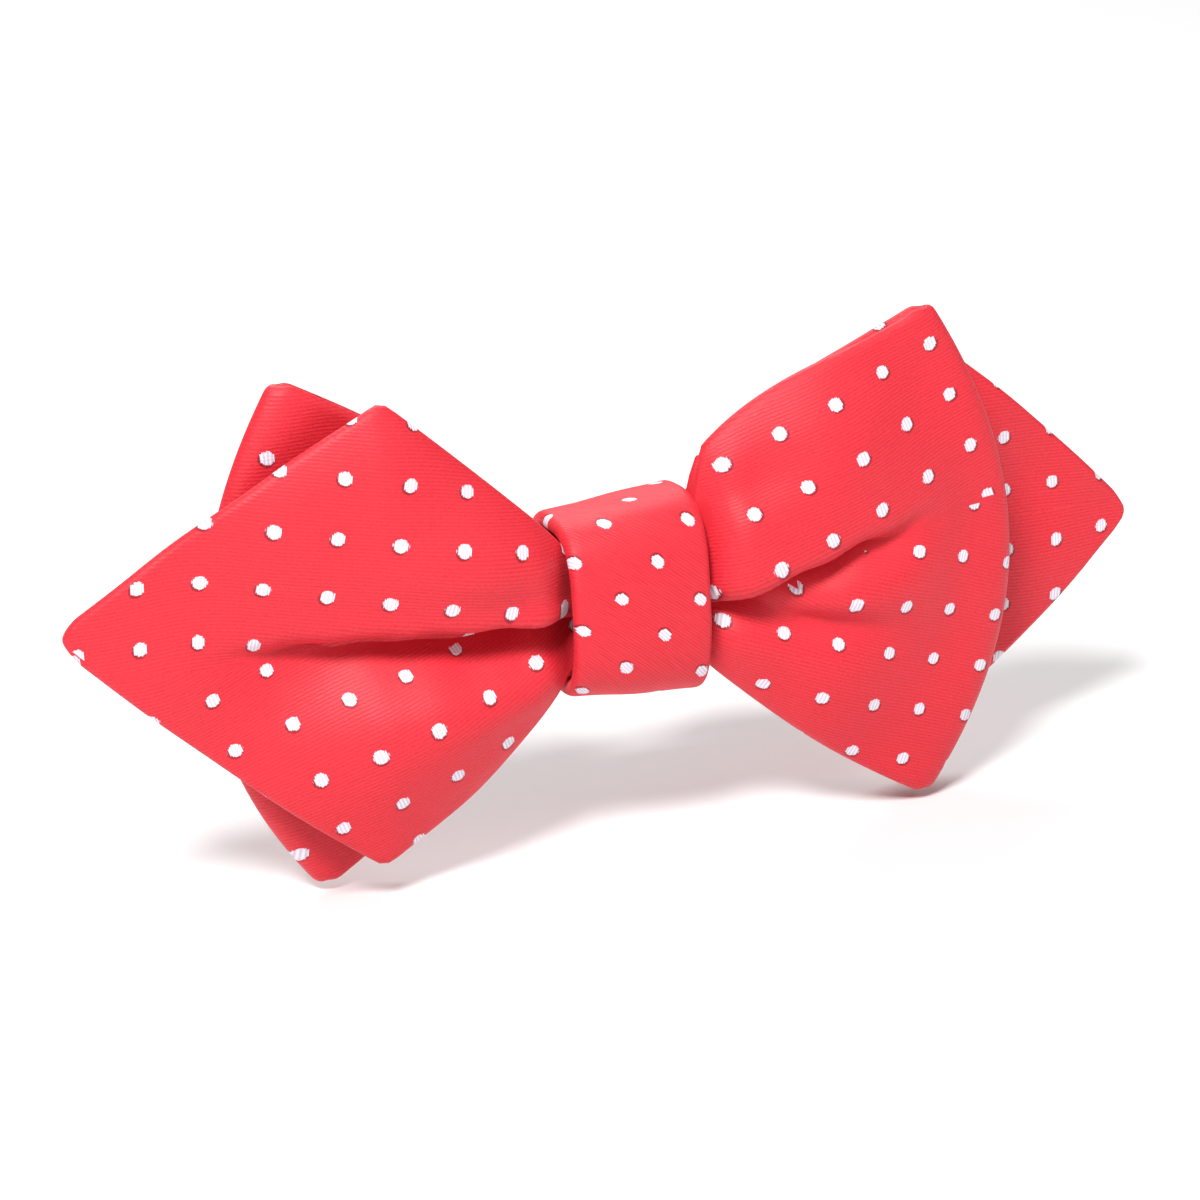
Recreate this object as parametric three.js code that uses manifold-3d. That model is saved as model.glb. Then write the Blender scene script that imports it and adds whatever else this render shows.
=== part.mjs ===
// A pre-tied bow tie with pointed ends: one bagged strip folded to and fro through a knot band,
// and a sprung clip sewn behind the knot. Millimetres, +Z up, the front faces -Y.
import * as THREE from "three";
import { mergeVertices } from "three/addons/utils/BufferGeometryUtils.js";
import Module from "manifold-3d";

const wasm = await Module();
wasm.setup();

// ---- Driving dimensions -------------------------------------------------------------------

// The cloth and what is inside it.
const clothThickness = 0.4;
const liningThickness = 0.4;
const layerGap = 0.2;
const liningInset = 0.05; // share of the half height that the interlining stops short of the seam

// The knot band, a flattened sleeve wrapped round the waist of the strip.
const knotWidth = 15.4;
const passSpacing = 3.0; // between the middles of two passes of the strip inside the knot
const knotDepth = 2 * passSpacing + 9.2; // three passes, the band on both sides and room to gather
const knotTop = 10.2; // above the middle of the waist
const knotBottom = 10.6; // below it
const knotSquareness = 3.6; // power of the superellipse that the band follows
const knotJoinGap = 3.2; // between the two ends of the band, behind the knot
const knotX = -2.9; // the knot sits a little to one side

// The strip where the knot gathers it. Distances are outwards from the middle of the knot.
const waistHeight = 14.0;
const neckX = knotWidth / 2 - 0.3; // from here outwards the strip spreads
const neckLead = 0.3; // the first column outside the middle stands this far inside the neck
const hiddenPleat = 0.3; // share of a pleat's depth that is left inside the knot
const gatheredPleatWidth = 3.2; // of a pleat inside the knot
const pleatOpening = 6.6; // the distance over which a pleat opens outside the knot
const puffRise = 14; // the distance at which the cloth has puffed out fully
const crownPower = 2.4; // a puff falls off towards the seams with this power of the height share
const seamPower = 4; // a pleat's lift falls off towards the seams with this power

// The two pointed ends: the point, the corners above and below it, and how they stand.
const frontEnd = {
  reach: 59.6,
  pointLift: 3.8,
  top: [26.3, 25.4],
  bottom: [28.9, 24.6],
  cornerY: -3.3,
  pointY: 1.5,
  puff: 5.4,
};
const backEnd = {
  reach: 64.9,
  pointLift: -2.9,
  top: [37.0, 23.4],
  bottom: [35.8, 24.6],
  cornerY: 4.6,
  pointY: 8.0,
  puff: 3.2,
};
const pointRadius = 1.2; // half height of the blunt point
const endBelly = 1.8; // bulge of a long edge between the knot and a corner
const pointBelly = 1.0; // bulge of a short edge between a corner and the point
const endSettle = 24; // the distance at which an end stands clear of its neighbour
const endSweepStart = 26; // from here an end leans towards its point
const endSweepRun = 6; // the lean would go on this far past the point
const endPuffFade = [16, 50]; // distances between which an end's puff dies away

// The two folded ends: the farthest point of the fold, its corners, and how far it stands off.
const foldReach = 44.0;
const foldTop = [35.2, 27.7];
const foldBottom = [33.8, 28.0];
const foldY = 2.6;
const foldHalfGap = 1.35; // half the gap between the two layers close to the fold
const foldBelly = 1.5; // bulge of a long edge between the knot and a fold's corner
const foldNose = 16; // power of the superellipse that the fold turns round
const foldSpread = [10, 28]; // distances between which the two layers part
const outerSpread = 0.8; // how far the outer layer moves off
const innerSpread = 0.3; // how far the inner layer moves off
const foldSlack = 0.8; // how far the inner layer hangs back
const foldPuffFade = [18, 46]; // distances between which a fold's puff dies away
const innerPleatShare = 0.25; // of a pleat's depth that the inner layer follows
// Shares of the way to the fold between which the layers close up, meet, and lose their pleats.
const layersClose = [0.72, 0.96];
const layersMeet = [0.55, 1];
const pleatsEnd = [0.8, 0.98];
const frontPuff = 5.2;
const backPuff = 3.2;

// Pleats: [start height, end height, end distance, depth, narrow width, wide width, tilt, fade]
const frontEndPleats = [[-2.6, -3.6, 44, 4.4, 3.4, 6.0, 12, 0.4]];
const frontFoldPleats = [
  [-0.8, 6.6, 40, 3.8, 3.2, 5.0, 12, 0.45],
  [-4.4, -8.4, 38, 1.4, 3.0, 4.0, 0, 0.5],
];
const backFoldPleats = [[0, 0, 42, 2.6, 3.4, 5.5, 0, 0.4]];
const backEndPleats = [[0.5, 0, 44, 2.6, 3.4, 5.5, 0, 0.4]];

// The clip behind the knot.
const plateLength = 43;
const plateHeight = 9;
const plateThickness = 0.8;
const plateCornerRadius = 2.0;
const plateGap = 0.3; // between the plate and the band it is sewn to
const hingeX = 9.5; // from the middle of the plate
const hingeStandOff = 3.0; // of the pin's axis behind the plate
const pinRadius = 0.7;
const pinClearance = 0.05;
const pinHeadRadius = 1.15;
const pinHeadHeight = 0.4;
const pinHeadGap = 0.1; // between an ear and the pin's head
const earWidth = 3.2;
const earThickness = 0.7;
const earInset = 0.3; // of the ears from the plate's edges
const cheekGap = 0.25; // between an ear and the jaw's cheek
const cheekThickness = 0.6;
const cheekWidth = 2.6;
const jawThickness = 0.7;
const jawInnerX = 3.6; // where the thumb tab ends
const jawOuterX = 21.0; // where the teeth are
const jawTipGap = 0.35; // between the closed teeth and the plate
const toothCount = 5;
const toothHeight = 0.9;
const thumbLift = 2.3; // how much further back the jaw's flat back stands than the pin
const thumbKick = 0.6; // how much the thumb tab's end rises above that
const jawFlatInner = 2; // from the pin to where the thumb tab starts
const jawFlatOuter = 3; // from the pin to where the arm starts to slope
const jawShoulder = [1.2, 2.5]; // from the lip's end to where the arm turns over
const legGap = 0.1; // between a spring's leg and the plate or the thumb tab
const legLength = 4.9; // of a spring's leg, from the pin inwards
const springWire = 0.45;
const springTurns = 4;
const springClearance = 0.25; // between the coil and the pin
const springEndGap = 0.15; // between the coil's ends and the cheeks
const springSteps = 10; // per turn

// The threads.
const threadRadius = 0.22;
const bindingTurns = 3;
const bindingSpacing = 0.3; // between two turns
const bindingClearance = 0.15; // between the thread and the inside of the band
const bindingSteps = 20; // per turn
const closingCrossings = 6;
const closingMargin = 0.42; // between a stitch's middle line and the band's end
const closingInset = 2; // of the first and last stitch from the band's edges
const clipStitchX = 1.6; // of the two bar tacks that hold the plate, from its middle
const clipStitchHeight = 5.0;
const clipStitchClearance = 0.15; // round the thread in the plate's hole
const clipStitchLead = 0.1; // from the band to the thread's ends
const clipStitchBend = 0.45; // radius at which a tack turns into the plate

// How finely the surfaces are cut.
const columnsPerEnd = 8;
const columnsPerPoint = 4;
const columnsPerFold = 8;
const columnsRound = 4;
const roundStart = 0.86; // share of the way to the fold from which the columns crowd
const rows = 10;
const rowsGather = 0.45; // how strongly the rows crowd towards the pleats in the middle
const bandSteps = 32;
const threadSides = 5;
const roundSides = 16;

const colours = {
  cloth: 0xf52f45,
  lining: 0xf3ece0,
  thread: 0xd42438,
  steel: 0xc9ccd0,
};

// ---- Small helpers --------------------------------------------------------------------------

const clamp = (x, low, high) => Math.min(high, Math.max(low, x));
const mix = (a, b, t) => a + (b - a) * t;
const radians = (degrees) => (degrees * Math.PI) / 180;
const cleanPower = (x, power) => Math.sign(x) * Math.abs(x) ** power;

function ease(low, high, x) {
  const t = clamp((x - low) / (high - low), 0, 1);
  return t * t * (3 - 2 * t);
}

function material(colour, roughness, metalness) {
  return new THREE.MeshStandardMaterial({ color: colour, roughness, metalness });
}

const satin = material(colours.cloth, 0.55, 0);
const felt = material(colours.lining, 0.95, 0);
const silkThread = material(colours.thread, 0.7, 0);
const steel = material(colours.steel, 0.3, 1);

function positionsOnly(geometry) {
  const bare = geometry.clone();
  bare.deleteAttribute("normal");
  bare.deleteAttribute("uv");
  return mergeVertices(bare, 1e-4);
}

function solidOf(geometry) {
  const merged = positionsOnly(geometry);
  return new wasm.Manifold(
    new wasm.Mesh({
      numProp: 3,
      vertProperties: new Float32Array(merged.attributes.position.array),
      triVerts: new Uint32Array(merged.index.array),
    }),
  );
}

function geometryOf(solid) {
  const mesh = solid.getMesh();
  const geometry = new THREE.BufferGeometry();
  geometry.setAttribute("position", new THREE.BufferAttribute(mesh.vertProperties, 3));
  geometry.setIndex(new THREE.BufferAttribute(mesh.triVerts, 1));
  geometry.computeVertexNormals();
  return geometry;
}

function facesOf(points, faces) {
  const geometry = new THREE.BufferGeometry();
  geometry.setAttribute("position", new THREE.Float32BufferAttribute(points, 3));
  geometry.setIndex(faces);
  geometry.computeVertexNormals();
  return geometry;
}

function joined(geometries) {
  return geometries.map(solidOf).reduce((whole, next) => whole.add(next));
}

function piece(name, geometry, finish) {
  const mesh = new THREE.Mesh(geometry, finish);
  mesh.name = name;
  return mesh;
}

// ---- The strip ------------------------------------------------------------------------------
// A point of the strip's middle surface is found from a distance outwards from the knot and a
// height share from -1, the lower seam, to 1, the upper seam.

function spreading(distance, corner, height, belly) {
  const waist = waistHeight / 2;
  const share = clamp((distance - neckX) / (corner - neckX), 0, 1);
  return waist + (height - waist) * share + belly * Math.sin(Math.PI * share);
}

function pleatShift(distance, z, pleats) {
  let back = 0;
  let up = 0;
  for (const [startZ, endZ, endX, depth, narrow, wide, tilt, fade] of pleats) {
    const share = clamp(distance / endX, 0, 1);
    const opened = ease(neckX, neckX + pleatOpening, distance);
    const shown = mix(hiddenPleat, 1, opened);
    const width = mix(gatheredPleatWidth, mix(narrow, wide, share), opened);
    const away = (z - mix(startZ, endZ, share)) / width;
    const sink = depth * (1 - ease(fade, 1, share)) * shown * Math.exp(-away * away);
    back += sink * Math.cos(radians(tilt));
    up += sink * Math.sin(radians(tilt));
  }
  return [back, up];
}

// A pointed end. facing is -1 for the end in front and 1 for the one behind.
function pointedEnd(distance, share, end, pleats, facing) {
  const edge = ([corner, height], lift) => {
    if (distance < corner) return spreading(distance, corner, height, endBelly);
    const s = (distance - corner) / (end.reach - corner);
    return mix(height, pointRadius + lift, s) + pointBelly * Math.sin(Math.PI * s);
  };
  const top = edge(end.top, end.pointLift);
  const bottom = -edge(end.bottom, -end.pointLift);
  const z = mix(bottom, top, (share + 1) / 2);
  const waistY = facing * passSpacing;
  const settle = (end.cornerY - waistY) * ease(neckX, endSettle, distance);
  const lean = ease(endSweepStart, end.reach + endSweepRun, distance);
  const sweep = (end.pointY - end.cornerY) * lean;
  const puff = end.puff * ease(neckX, puffRise, distance) * (1 - ease(...endPuffFade, distance));
  const crown = 1 - Math.abs(share) ** crownPower;
  const [back, up] = pleatShift(distance, z, pleats);
  const y = waistY + settle + sweep + facing * (puff * crown - back);
  return [y, z + up * (1 - share ** seamPower)];
}

// A folded end. travel runs from 0 at the knot to 1 at the fold; the outer layer is the one
// that faces away from the middle of the bow.
function foldedEnd(travel, share, puffSize, pleats, facing, outer) {
  const corner = mix(foldBottom[0], foldTop[0], (share + 1) / 2);
  const distance = travel * (corner + (foldReach - corner) * (1 - share * share));
  const edge = ([reach, height]) => spreading(travel * reach, reach, height, foldBelly);
  const z = mix(-edge(foldBottom), edge(foldTop), (share + 1) / 2);
  const swell = ease(neckX, puffRise, distance) * (1 - ease(...foldPuffFade, distance));
  const crown = 1 - Math.abs(share) ** crownPower;
  const spread = ease(...foldSpread, distance);
  const outerY = passSpacing + puffSize * swell * crown + outerSpread * spread;
  const innerY = innerSpread * spread - foldSlack * swell * (1 - share * share);
  const half = mix((outerY - innerY) / 2, foldHalfGap, ease(...layersClose, travel));
  const middle = mix((outerY + innerY) / 2, foldY, ease(...layersMeet, travel));
  const nose = Math.sqrt(Math.max(0, 1 - travel ** foldNose));
  const [back, up] = pleatShift(distance, z, pleats);
  const follow = (outer ? 1 : innerPleatShare) * (1 - ease(...pleatsEnd, travel));
  const y = middle + (outer ? half : -half) * nose - back * follow;
  return [distance, facing * y, z + up * follow * (1 - share ** seamPower)];
}

// The strip from the point in front to the point behind: out to each fold and back.
function stripColumns() {
  const columns = [];
  const neckStart = neckX - neckLead;
  const inOrder = (count, first, last) =>
    Array.from({ length: count }, (_, i) => mix(first, last, i / (count - 1)));
  const endDistances = (end) => {
    const inner = Math.min(end.top[0], end.bottom[0]);
    const outer = Math.max(end.top[0], end.bottom[0]);
    const near = inOrder(columnsPerEnd, neckStart, inner);
    const far = inOrder(columnsPerPoint, outer, end.reach);
    return [0, ...near, ...far];
  };
  const travels = [
    ...inOrder(columnsPerFold, neckStart / foldReach, roundStart),
    ...inOrder(columnsRound, 0, Math.PI / 2).slice(1).map((a) => mix(roundStart, 1, Math.sin(a))),
  ];
  const end = (distance, size, pleats, facing, side) => (share) => {
    const [y, z] = pointedEnd(distance, share, size, pleats, facing);
    return new THREE.Vector3(knotX + side * distance, y, z);
  };
  const fold = (travel, puff, pleats, facing, outer, side) => (share) => {
    const [x, y, z] = foldedEnd(travel, share, puff, pleats, facing, outer);
    return new THREE.Vector3(knotX + side * x, y, z);
  };
  for (const d of endDistances(frontEnd).reverse()) {
    columns.push(end(d, frontEnd, frontEndPleats, -1, -1));
  }
  for (const t of travels) columns.push(fold(t, frontPuff, frontFoldPleats, -1, true, 1));
  for (const t of travels.slice(0, -1).reverse()) {
    columns.push(fold(t, frontPuff, frontFoldPleats, -1, false, 1));
  }
  columns.push((share) => new THREE.Vector3(knotX, 0, (share * waistHeight) / 2));
  for (const t of travels) columns.push(fold(t, backPuff, backFoldPleats, 1, false, -1));
  for (const t of travels.slice(0, -1).reverse()) {
    columns.push(fold(t, backPuff, backFoldPleats, 1, true, -1));
  }
  for (const d of endDistances(backEnd)) columns.push(end(d, backEnd, backEndPleats, 1, 1));
  return columns;
}

// The strip's middle surface as columns of points, each with its normal. The rows crowd towards
// the pleats in the middle, and the last but one at each seam is where the interlining stops.
function surfaceGrid(columns) {
  const inner = 1 - liningInset;
  const shares = [-1];
  for (let j = 0; j <= rows; j += 1) {
    const even = mix(-1, 1, j / rows);
    shares.push(inner * mix(even, even * Math.abs(even), rowsGather));
  }
  shares.push(1);
  const points = columns.map((column) => shares.map(column));
  const at = (i, j) => points[clamp(i, 0, columns.length - 1)][clamp(j, 0, shares.length - 1)];
  return points.map((column, i) =>
    column.map((point, j) => {
      const along = at(i + 1, j).clone().sub(at(i - 1, j));
      const across = at(i, j + 1).clone().sub(at(i, j - 1));
      return { point, normal: along.cross(across).normalize() };
    }),
  );
}

// A closed shell between two distances from the surface, measured along its normals.
function shellOnGrid(grid, near, far) {
  const columnCount = grid.length;
  const rowCount = grid[0].length;
  const points = [];
  for (const offset of [far, near]) {
    for (const { point, normal } of grid.flat()) {
      const p = point.clone().addScaledVector(normal, offset);
      points.push(p.x, p.y, p.z);
    }
  }
  const faces = [];
  const index = (layer, i, j) => (layer * columnCount + i) * rowCount + j;
  const quad = (a, b, c, d) => faces.push(a, b, c, a, c, d);
  for (let i = 0; i + 1 < columnCount; i += 1) {
    for (let j = 0; j + 1 < rowCount; j += 1) {
      quad(index(0, i, j), index(0, i + 1, j), index(0, i + 1, j + 1), index(0, i, j + 1));
      quad(index(1, i, j), index(1, i, j + 1), index(1, i + 1, j + 1), index(1, i + 1, j));
    }
  }
  const lastRow = rowCount - 1;
  const lastColumn = columnCount - 1;
  for (let i = 0; i < lastColumn; i += 1) {
    quad(index(1, i, 0), index(1, i + 1, 0), index(0, i + 1, 0), index(0, i, 0));
    quad(index(0, i, lastRow), index(0, i + 1, lastRow), index(1, i + 1, lastRow), index(1, i, lastRow));
  }
  for (let j = 0; j < lastRow; j += 1) {
    const k = lastColumn;
    quad(index(0, 0, j), index(0, 0, j + 1), index(1, 0, j + 1), index(1, 0, j));
    quad(index(1, k, j), index(1, k, j + 1), index(0, k, j + 1), index(0, k, j));
  }
  return facesOf(points, faces);
}

function stripPieces() {
  const whole = surfaceGrid(stripColumns());
  const inner = whole.slice(1, -1).map((column) => column.slice(1, -1));
  const half = liningThickness / 2;
  const near = half + layerGap;
  const far = near + clothThickness;
  return [
    piece("bow_face_cloth", shellOnGrid(whole, near, far), satin),
    piece("bow_interlining", shellOnGrid(inner, -half, half), felt),
    piece("bow_back_cloth", shellOnGrid(whole, -far, -near), satin),
  ];
}

// ---- The knot band ----------------------------------------------------------------------------

// A point of the band's outline, inset inwards; angle 0 is the middle of the front.
function bandPoint(angle, inset) {
  const power = 2 / knotSquareness;
  const y = -cleanPower(Math.cos(angle), power) * (knotDepth / 2 - inset);
  const s = cleanPower(Math.sin(angle), power);
  return new THREE.Vector2(y, s * ((s > 0 ? knotTop : knotBottom) - inset));
}

// The angle from the back at which the band's end lies, so that its two ends are gap apart.
function bandEndAngle(gap) {
  return Math.asin((gap / (knotTop + knotBottom)) ** (knotSquareness / 2));
}

// A closed bar wrapped round the waist, between two insets and two ends along X.
function wrappedBar(insetOut, insetIn, width, gap) {
  const from = Math.PI + bandEndAngle(gap);
  const to = 3 * Math.PI - bandEndAngle(gap);
  const grid = [];
  for (let i = 0; i <= bandSteps; i += 1) {
    const angle = mix(from, to, i / bandSteps);
    const out = bandPoint(angle, insetOut);
    const inside = bandPoint(angle, insetIn);
    grid.push([out, inside]);
  }
  const positions = [];
  for (const x of [knotX - width / 2, knotX + width / 2]) {
    for (const [out, inside] of grid) {
      positions.push(x, out.x, out.y, x, inside.x, inside.y);
    }
  }
  const faces = [];
  const stride = grid.length * 2;
  const index = (side, i, layer) => side * stride + i * 2 + layer;
  const quad = (a, b, c, d) => faces.push(a, b, c, a, c, d);
  for (let i = 0; i < bandSteps; i += 1) {
    quad(index(0, i, 0), index(1, i, 0), index(1, i + 1, 0), index(0, i + 1, 0));
    quad(index(0, i + 1, 1), index(1, i + 1, 1), index(1, i, 1), index(0, i, 1));
    quad(index(0, i, 0), index(0, i + 1, 0), index(0, i + 1, 1), index(0, i, 1));
    quad(index(1, i, 1), index(1, i + 1, 1), index(1, i + 1, 0), index(1, i, 0));
  }
  quad(index(0, 0, 0), index(0, 0, 1), index(1, 0, 1), index(1, 0, 0));
  const n = bandSteps;
  quad(index(1, n, 0), index(1, n, 1), index(0, n, 1), index(0, n, 0));
  return facesOf(positions, faces);
}

const bandThickness = 2 * clothThickness + 2 * layerGap + liningThickness;

function knotPieces() {
  const endMargin = layerGap;
  // The sleeve is open at its two ends, behind the knot, so the space for the lining is cut
  // right through both.
  const sleeve = solidOf(wrappedBar(0, bandThickness, knotWidth, knotJoinGap));
  const space = solidOf(
    wrappedBar(
      clothThickness,
      bandThickness - clothThickness,
      knotWidth - 2 * clothThickness,
      knotJoinGap - 2 * endMargin,
    ),
  );
  const lining = wrappedBar(
    clothThickness + layerGap,
    bandThickness - clothThickness - layerGap,
    knotWidth - 2 * (clothThickness + layerGap),
    knotJoinGap + 2 * endMargin,
  );
  return [
    piece("knot_band", geometryOf(sleeve.subtract(space)), satin),
    piece("knot_interlining", lining, felt),
  ];
}

// ---- Threads ------------------------------------------------------------------------------------

class PathOf extends THREE.Curve {
  constructor(at) {
    super();
    this.at = at;
  }

  getPoint(t, target = new THREE.Vector3()) {
    return target.copy(this.at(t));
  }
}

function rod(at, steps, radius, sides) {
  const section = new THREE.Shape();
  for (let i = 0; i < sides; i += 1) {
    const angle = (2 * Math.PI * i) / sides;
    const point = [radius * Math.cos(angle), radius * Math.sin(angle)];
    if (i === 0) section.moveTo(...point);
    else section.lineTo(...point);
  }
  return new THREE.ExtrudeGeometry(section, {
    steps,
    extrudePath: new PathOf(at),
    bevelEnabled: false,
  });
}

// Thread wound round the gathered waist, in the space under the knot band.
function waistBinding() {
  const inset = bandThickness + bindingClearance + threadRadius;
  const pitch = 2 * threadRadius + bindingSpacing;
  const start = knotX - (pitch * bindingTurns) / 2;
  const at = (t) => {
    const point = bandPoint(2 * Math.PI * bindingTurns * t, inset);
    return new THREE.Vector3(start + pitch * bindingTurns * t, point.x, point.y);
  };
  const thread = rod(at, bindingSteps * bindingTurns, threadRadius, threadSides);
  return piece("waist_binding_thread", thread, silkThread);
}

// Zigzag stitches that close the band's two ends behind the knot.
function closingStitches() {
  const reach = knotJoinGap / 2 - closingMargin;
  const width = knotWidth - 2 * closingInset;
  const y = (knotDepth - bandThickness) / 2;
  const at = (t) => {
    const wave = Math.asin(Math.cos(Math.PI * closingCrossings * t)) / (Math.PI / 2);
    return new THREE.Vector3(knotX + width * (t - 0.5), y, reach * wave);
  };
  const thread = rod(at, closingCrossings * 6, threadRadius, threadSides);
  return piece("knot_closing_stitches", thread, silkThread);
}

// ---- The clip --------------------------------------------------------------------------------------

const plateY = knotDepth / 2 + plateGap;
const hingeY = plateY + plateThickness + hingeStandOff;
const earZ = plateHeight / 2 - earInset - earThickness / 2;
const cheekZ = earZ - earThickness / 2 - cheekGap - cheekThickness / 2;
const holeSides = roundSides;
const holeRadius = (pinRadius + pinClearance) / Math.cos(Math.PI / holeSides);

function block(width, depth, height, x, y, z) {
  return new THREE.BoxGeometry(width, depth, height).translate(x, y, z);
}

function uprightCylinder(radius, height, sides, x, y, z) {
  return new THREE.CylinderGeometry(radius, radius, height, sides)
    .rotateX(Math.PI / 2)
    .translate(x, y, z);
}

// A flat outline in X and Z, given as a THREE.Shape, made thickness deep from y towards the back.
function panel(outline, y, thickness) {
  const settings = { depth: thickness, bevelEnabled: false, curveSegments: 5 };
  return new THREE.ExtrudeGeometry(outline, settings)
    .rotateX(Math.PI / 2)
    .translate(0, y + thickness, 0);
}

function roundedPlate(length, height, radius) {
  const x = length / 2;
  const z = height / 2;
  const outline = new THREE.Shape();
  outline.moveTo(-x + radius, -z);
  outline.lineTo(x - radius, -z);
  outline.absarc(x - radius, -z + radius, radius, -Math.PI / 2, 0);
  outline.lineTo(x, z - radius);
  outline.absarc(x - radius, z - radius, radius, 0, Math.PI / 2);
  outline.lineTo(-x + radius, z);
  outline.absarc(-x + radius, z - radius, radius, Math.PI / 2, Math.PI);
  outline.lineTo(-x, -z + radius);
  outline.absarc(-x + radius, -z + radius, radius, Math.PI, 1.5 * Math.PI);
  return outline;
}

function pinHole(x) {
  const bore = uprightCylinder(holeRadius, 2 * plateHeight, holeSides, x, hingeY, 0);
  return solidOf(bore);
}

// An ear or cheek: a strip from the plate or jaw that ends in a round eye about the pin.
function eye(footX, footWidth, footY, thickness, z) {
  const legY = (hingeY + footY) / 2;
  const leg = block(footWidth, Math.abs(hingeY - footY), thickness, footX, legY, z);
  const round = uprightCylinder(footWidth / 2, thickness, roundSides, footX, hingeY, z);
  return solidOf(leg).add(solidOf(round));
}

function clipPlate() {
  const outline = roundedPlate(plateLength, plateHeight, plateCornerRadius);
  const foot = plateY + plateThickness / 2;
  const stitchHole = threadRadius + clipStitchClearance;
  let plate = solidOf(panel(outline, plateY, plateThickness));
  for (const side of [-1, 1]) {
    for (const level of [-1, 1]) {
      plate = plate.add(eye(side * hingeX, earWidth, foot, earThickness, level * earZ));
      const hole = uprightCylinder(stitchHole, 4 * plateThickness, roundSides / 2, 0, 0, 0)
        .rotateX(Math.PI / 2)
        .translate(side * clipStitchX, plateY, (level * clipStitchHeight) / 2);
      plate = plate.subtract(solidOf(hole));
    }
    plate = plate.subtract(pinHole(side * hingeX));
  }
  return piece("clip_plate", geometryOf(plate), steel);
}

// The jaw seen from its edge, drawn for the right-hand side: a thumb tab that kicks up, a flat
// back, an arm that slopes down and a lip that turns over.
function jawProfile(backY, tipY) {
  const flatStart = hingeX - jawFlatInner;
  const flatEnd = hingeX + jawFlatOuter;
  const shoulderX = jawOuterX - jawShoulder[0];
  const shoulderY = tipY + jawShoulder[1];
  const insideX = jawOuterX - jawThickness;
  const outline = new THREE.Shape();
  outline.moveTo(jawInnerX, backY + thumbKick);
  outline.lineTo(flatStart, backY);
  outline.lineTo(flatEnd, backY);
  outline.lineTo(shoulderX, shoulderY);
  outline.quadraticCurveTo(jawOuterX, shoulderY, jawOuterX, tipY + toothHeight);
  outline.lineTo(insideX, tipY + toothHeight);
  outline.lineTo(shoulderX - jawThickness / 2, shoulderY - jawThickness);
  outline.lineTo(flatEnd - jawThickness / 3, backY - jawThickness);
  outline.lineTo(flatStart, backY - jawThickness);
  outline.lineTo(jawInnerX, backY + thumbKick - jawThickness);
  outline.closePath();
  return outline;
}

// A jaw: the arm, the teeth along its lip, and two cheeks that turn on the pin.
function jaw(side) {
  const width = 2 * cheekZ + cheekThickness;
  const backY = hingeY + thumbLift;
  const tipY = plateY + plateThickness + jawTipGap;
  const settings = { depth: width, bevelEnabled: false, curveSegments: 3 };
  const arm = new THREE.ExtrudeGeometry(jawProfile(backY, tipY), settings);
  let solid = solidOf(arm.translate(0, 0, -width / 2));
  const toothWidth = width / (2 * toothCount - 1);
  const toothX = jawOuterX - jawThickness / 2;
  const toothLength = toothHeight + jawThickness / 3; // it is let into the lip
  for (let i = 0; i < toothCount; i += 1) {
    const z = -width / 2 + toothWidth * (2 * i + 0.5);
    const toothY = tipY + toothLength / 2;
    solid = solid.add(solidOf(block(jawThickness, toothLength, toothWidth, toothX, toothY, z)));
  }
  const foot = backY - jawThickness / 2;
  for (const level of [-1, 1]) {
    solid = solid.add(eye(hingeX, cheekWidth, foot, cheekThickness, level * cheekZ));
  }
  const geometry = geometryOf(solid.subtract(pinHole(hingeX)));
  return side < 0 ? geometry.rotateY(Math.PI) : geometry;
}

function hingePin(side) {
  const x = side * hingeX;
  const headZ = earZ + (earThickness + pinHeadHeight) / 2 + pinHeadGap;
  const shank = uprightCylinder(pinRadius, 2 * headZ, roundSides, x, hingeY, 0);
  const heads = [-headZ, headZ].map((z) =>
    uprightCylinder(pinHeadRadius, pinHeadHeight, roundSides, x, hingeY, z),
  );
  return geometryOf(joined([shank, ...heads]));
}

// A torsion spring: a coil round the pin, one leg along the plate and one under the thumb tab.
function torsionSpring(side) {
  const coil = pinRadius + springClearance + springWire / 2;
  const half = cheekZ - cheekThickness / 2 - springWire - springEndGap;
  const plateLegY = plateY + plateThickness + legGap + springWire / 2;
  const tabLegY = hingeY + thumbLift - jawThickness - legGap - springWire / 2;
  const legEnd = hingeX - legLength;
  const legStart = hingeX - jawFlatInner;
  const turnSteps = Math.round(springSteps * (springTurns + 0.5));
  const coils = Array.from({ length: turnSteps + 1 }, (_, i) => {
    const share = i / turnSteps;
    const angle = -Math.PI / 2 + 2 * Math.PI * (springTurns + 0.5) * share;
    const x = hingeX + coil * Math.cos(angle);
    return new THREE.Vector3(x, hingeY + coil * Math.sin(angle), mix(-half, half, share));
  });
  const points = [
    new THREE.Vector3(legEnd, plateLegY, -half),
    new THREE.Vector3(legStart, plateLegY, -half),
    ...coils,
    new THREE.Vector3(legStart, tabLegY, half),
    new THREE.Vector3(legEnd, tabLegY, half),
  ];
  const curve = new THREE.CatmullRomCurve3(points, false, "centripetal");
  const at = (t) => curve.getPoint(t);
  const geometry = rod(at, points.length - 1, springWire / 2, threadSides);
  return side < 0 ? geometry.rotateY(Math.PI) : geometry;
}

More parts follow.
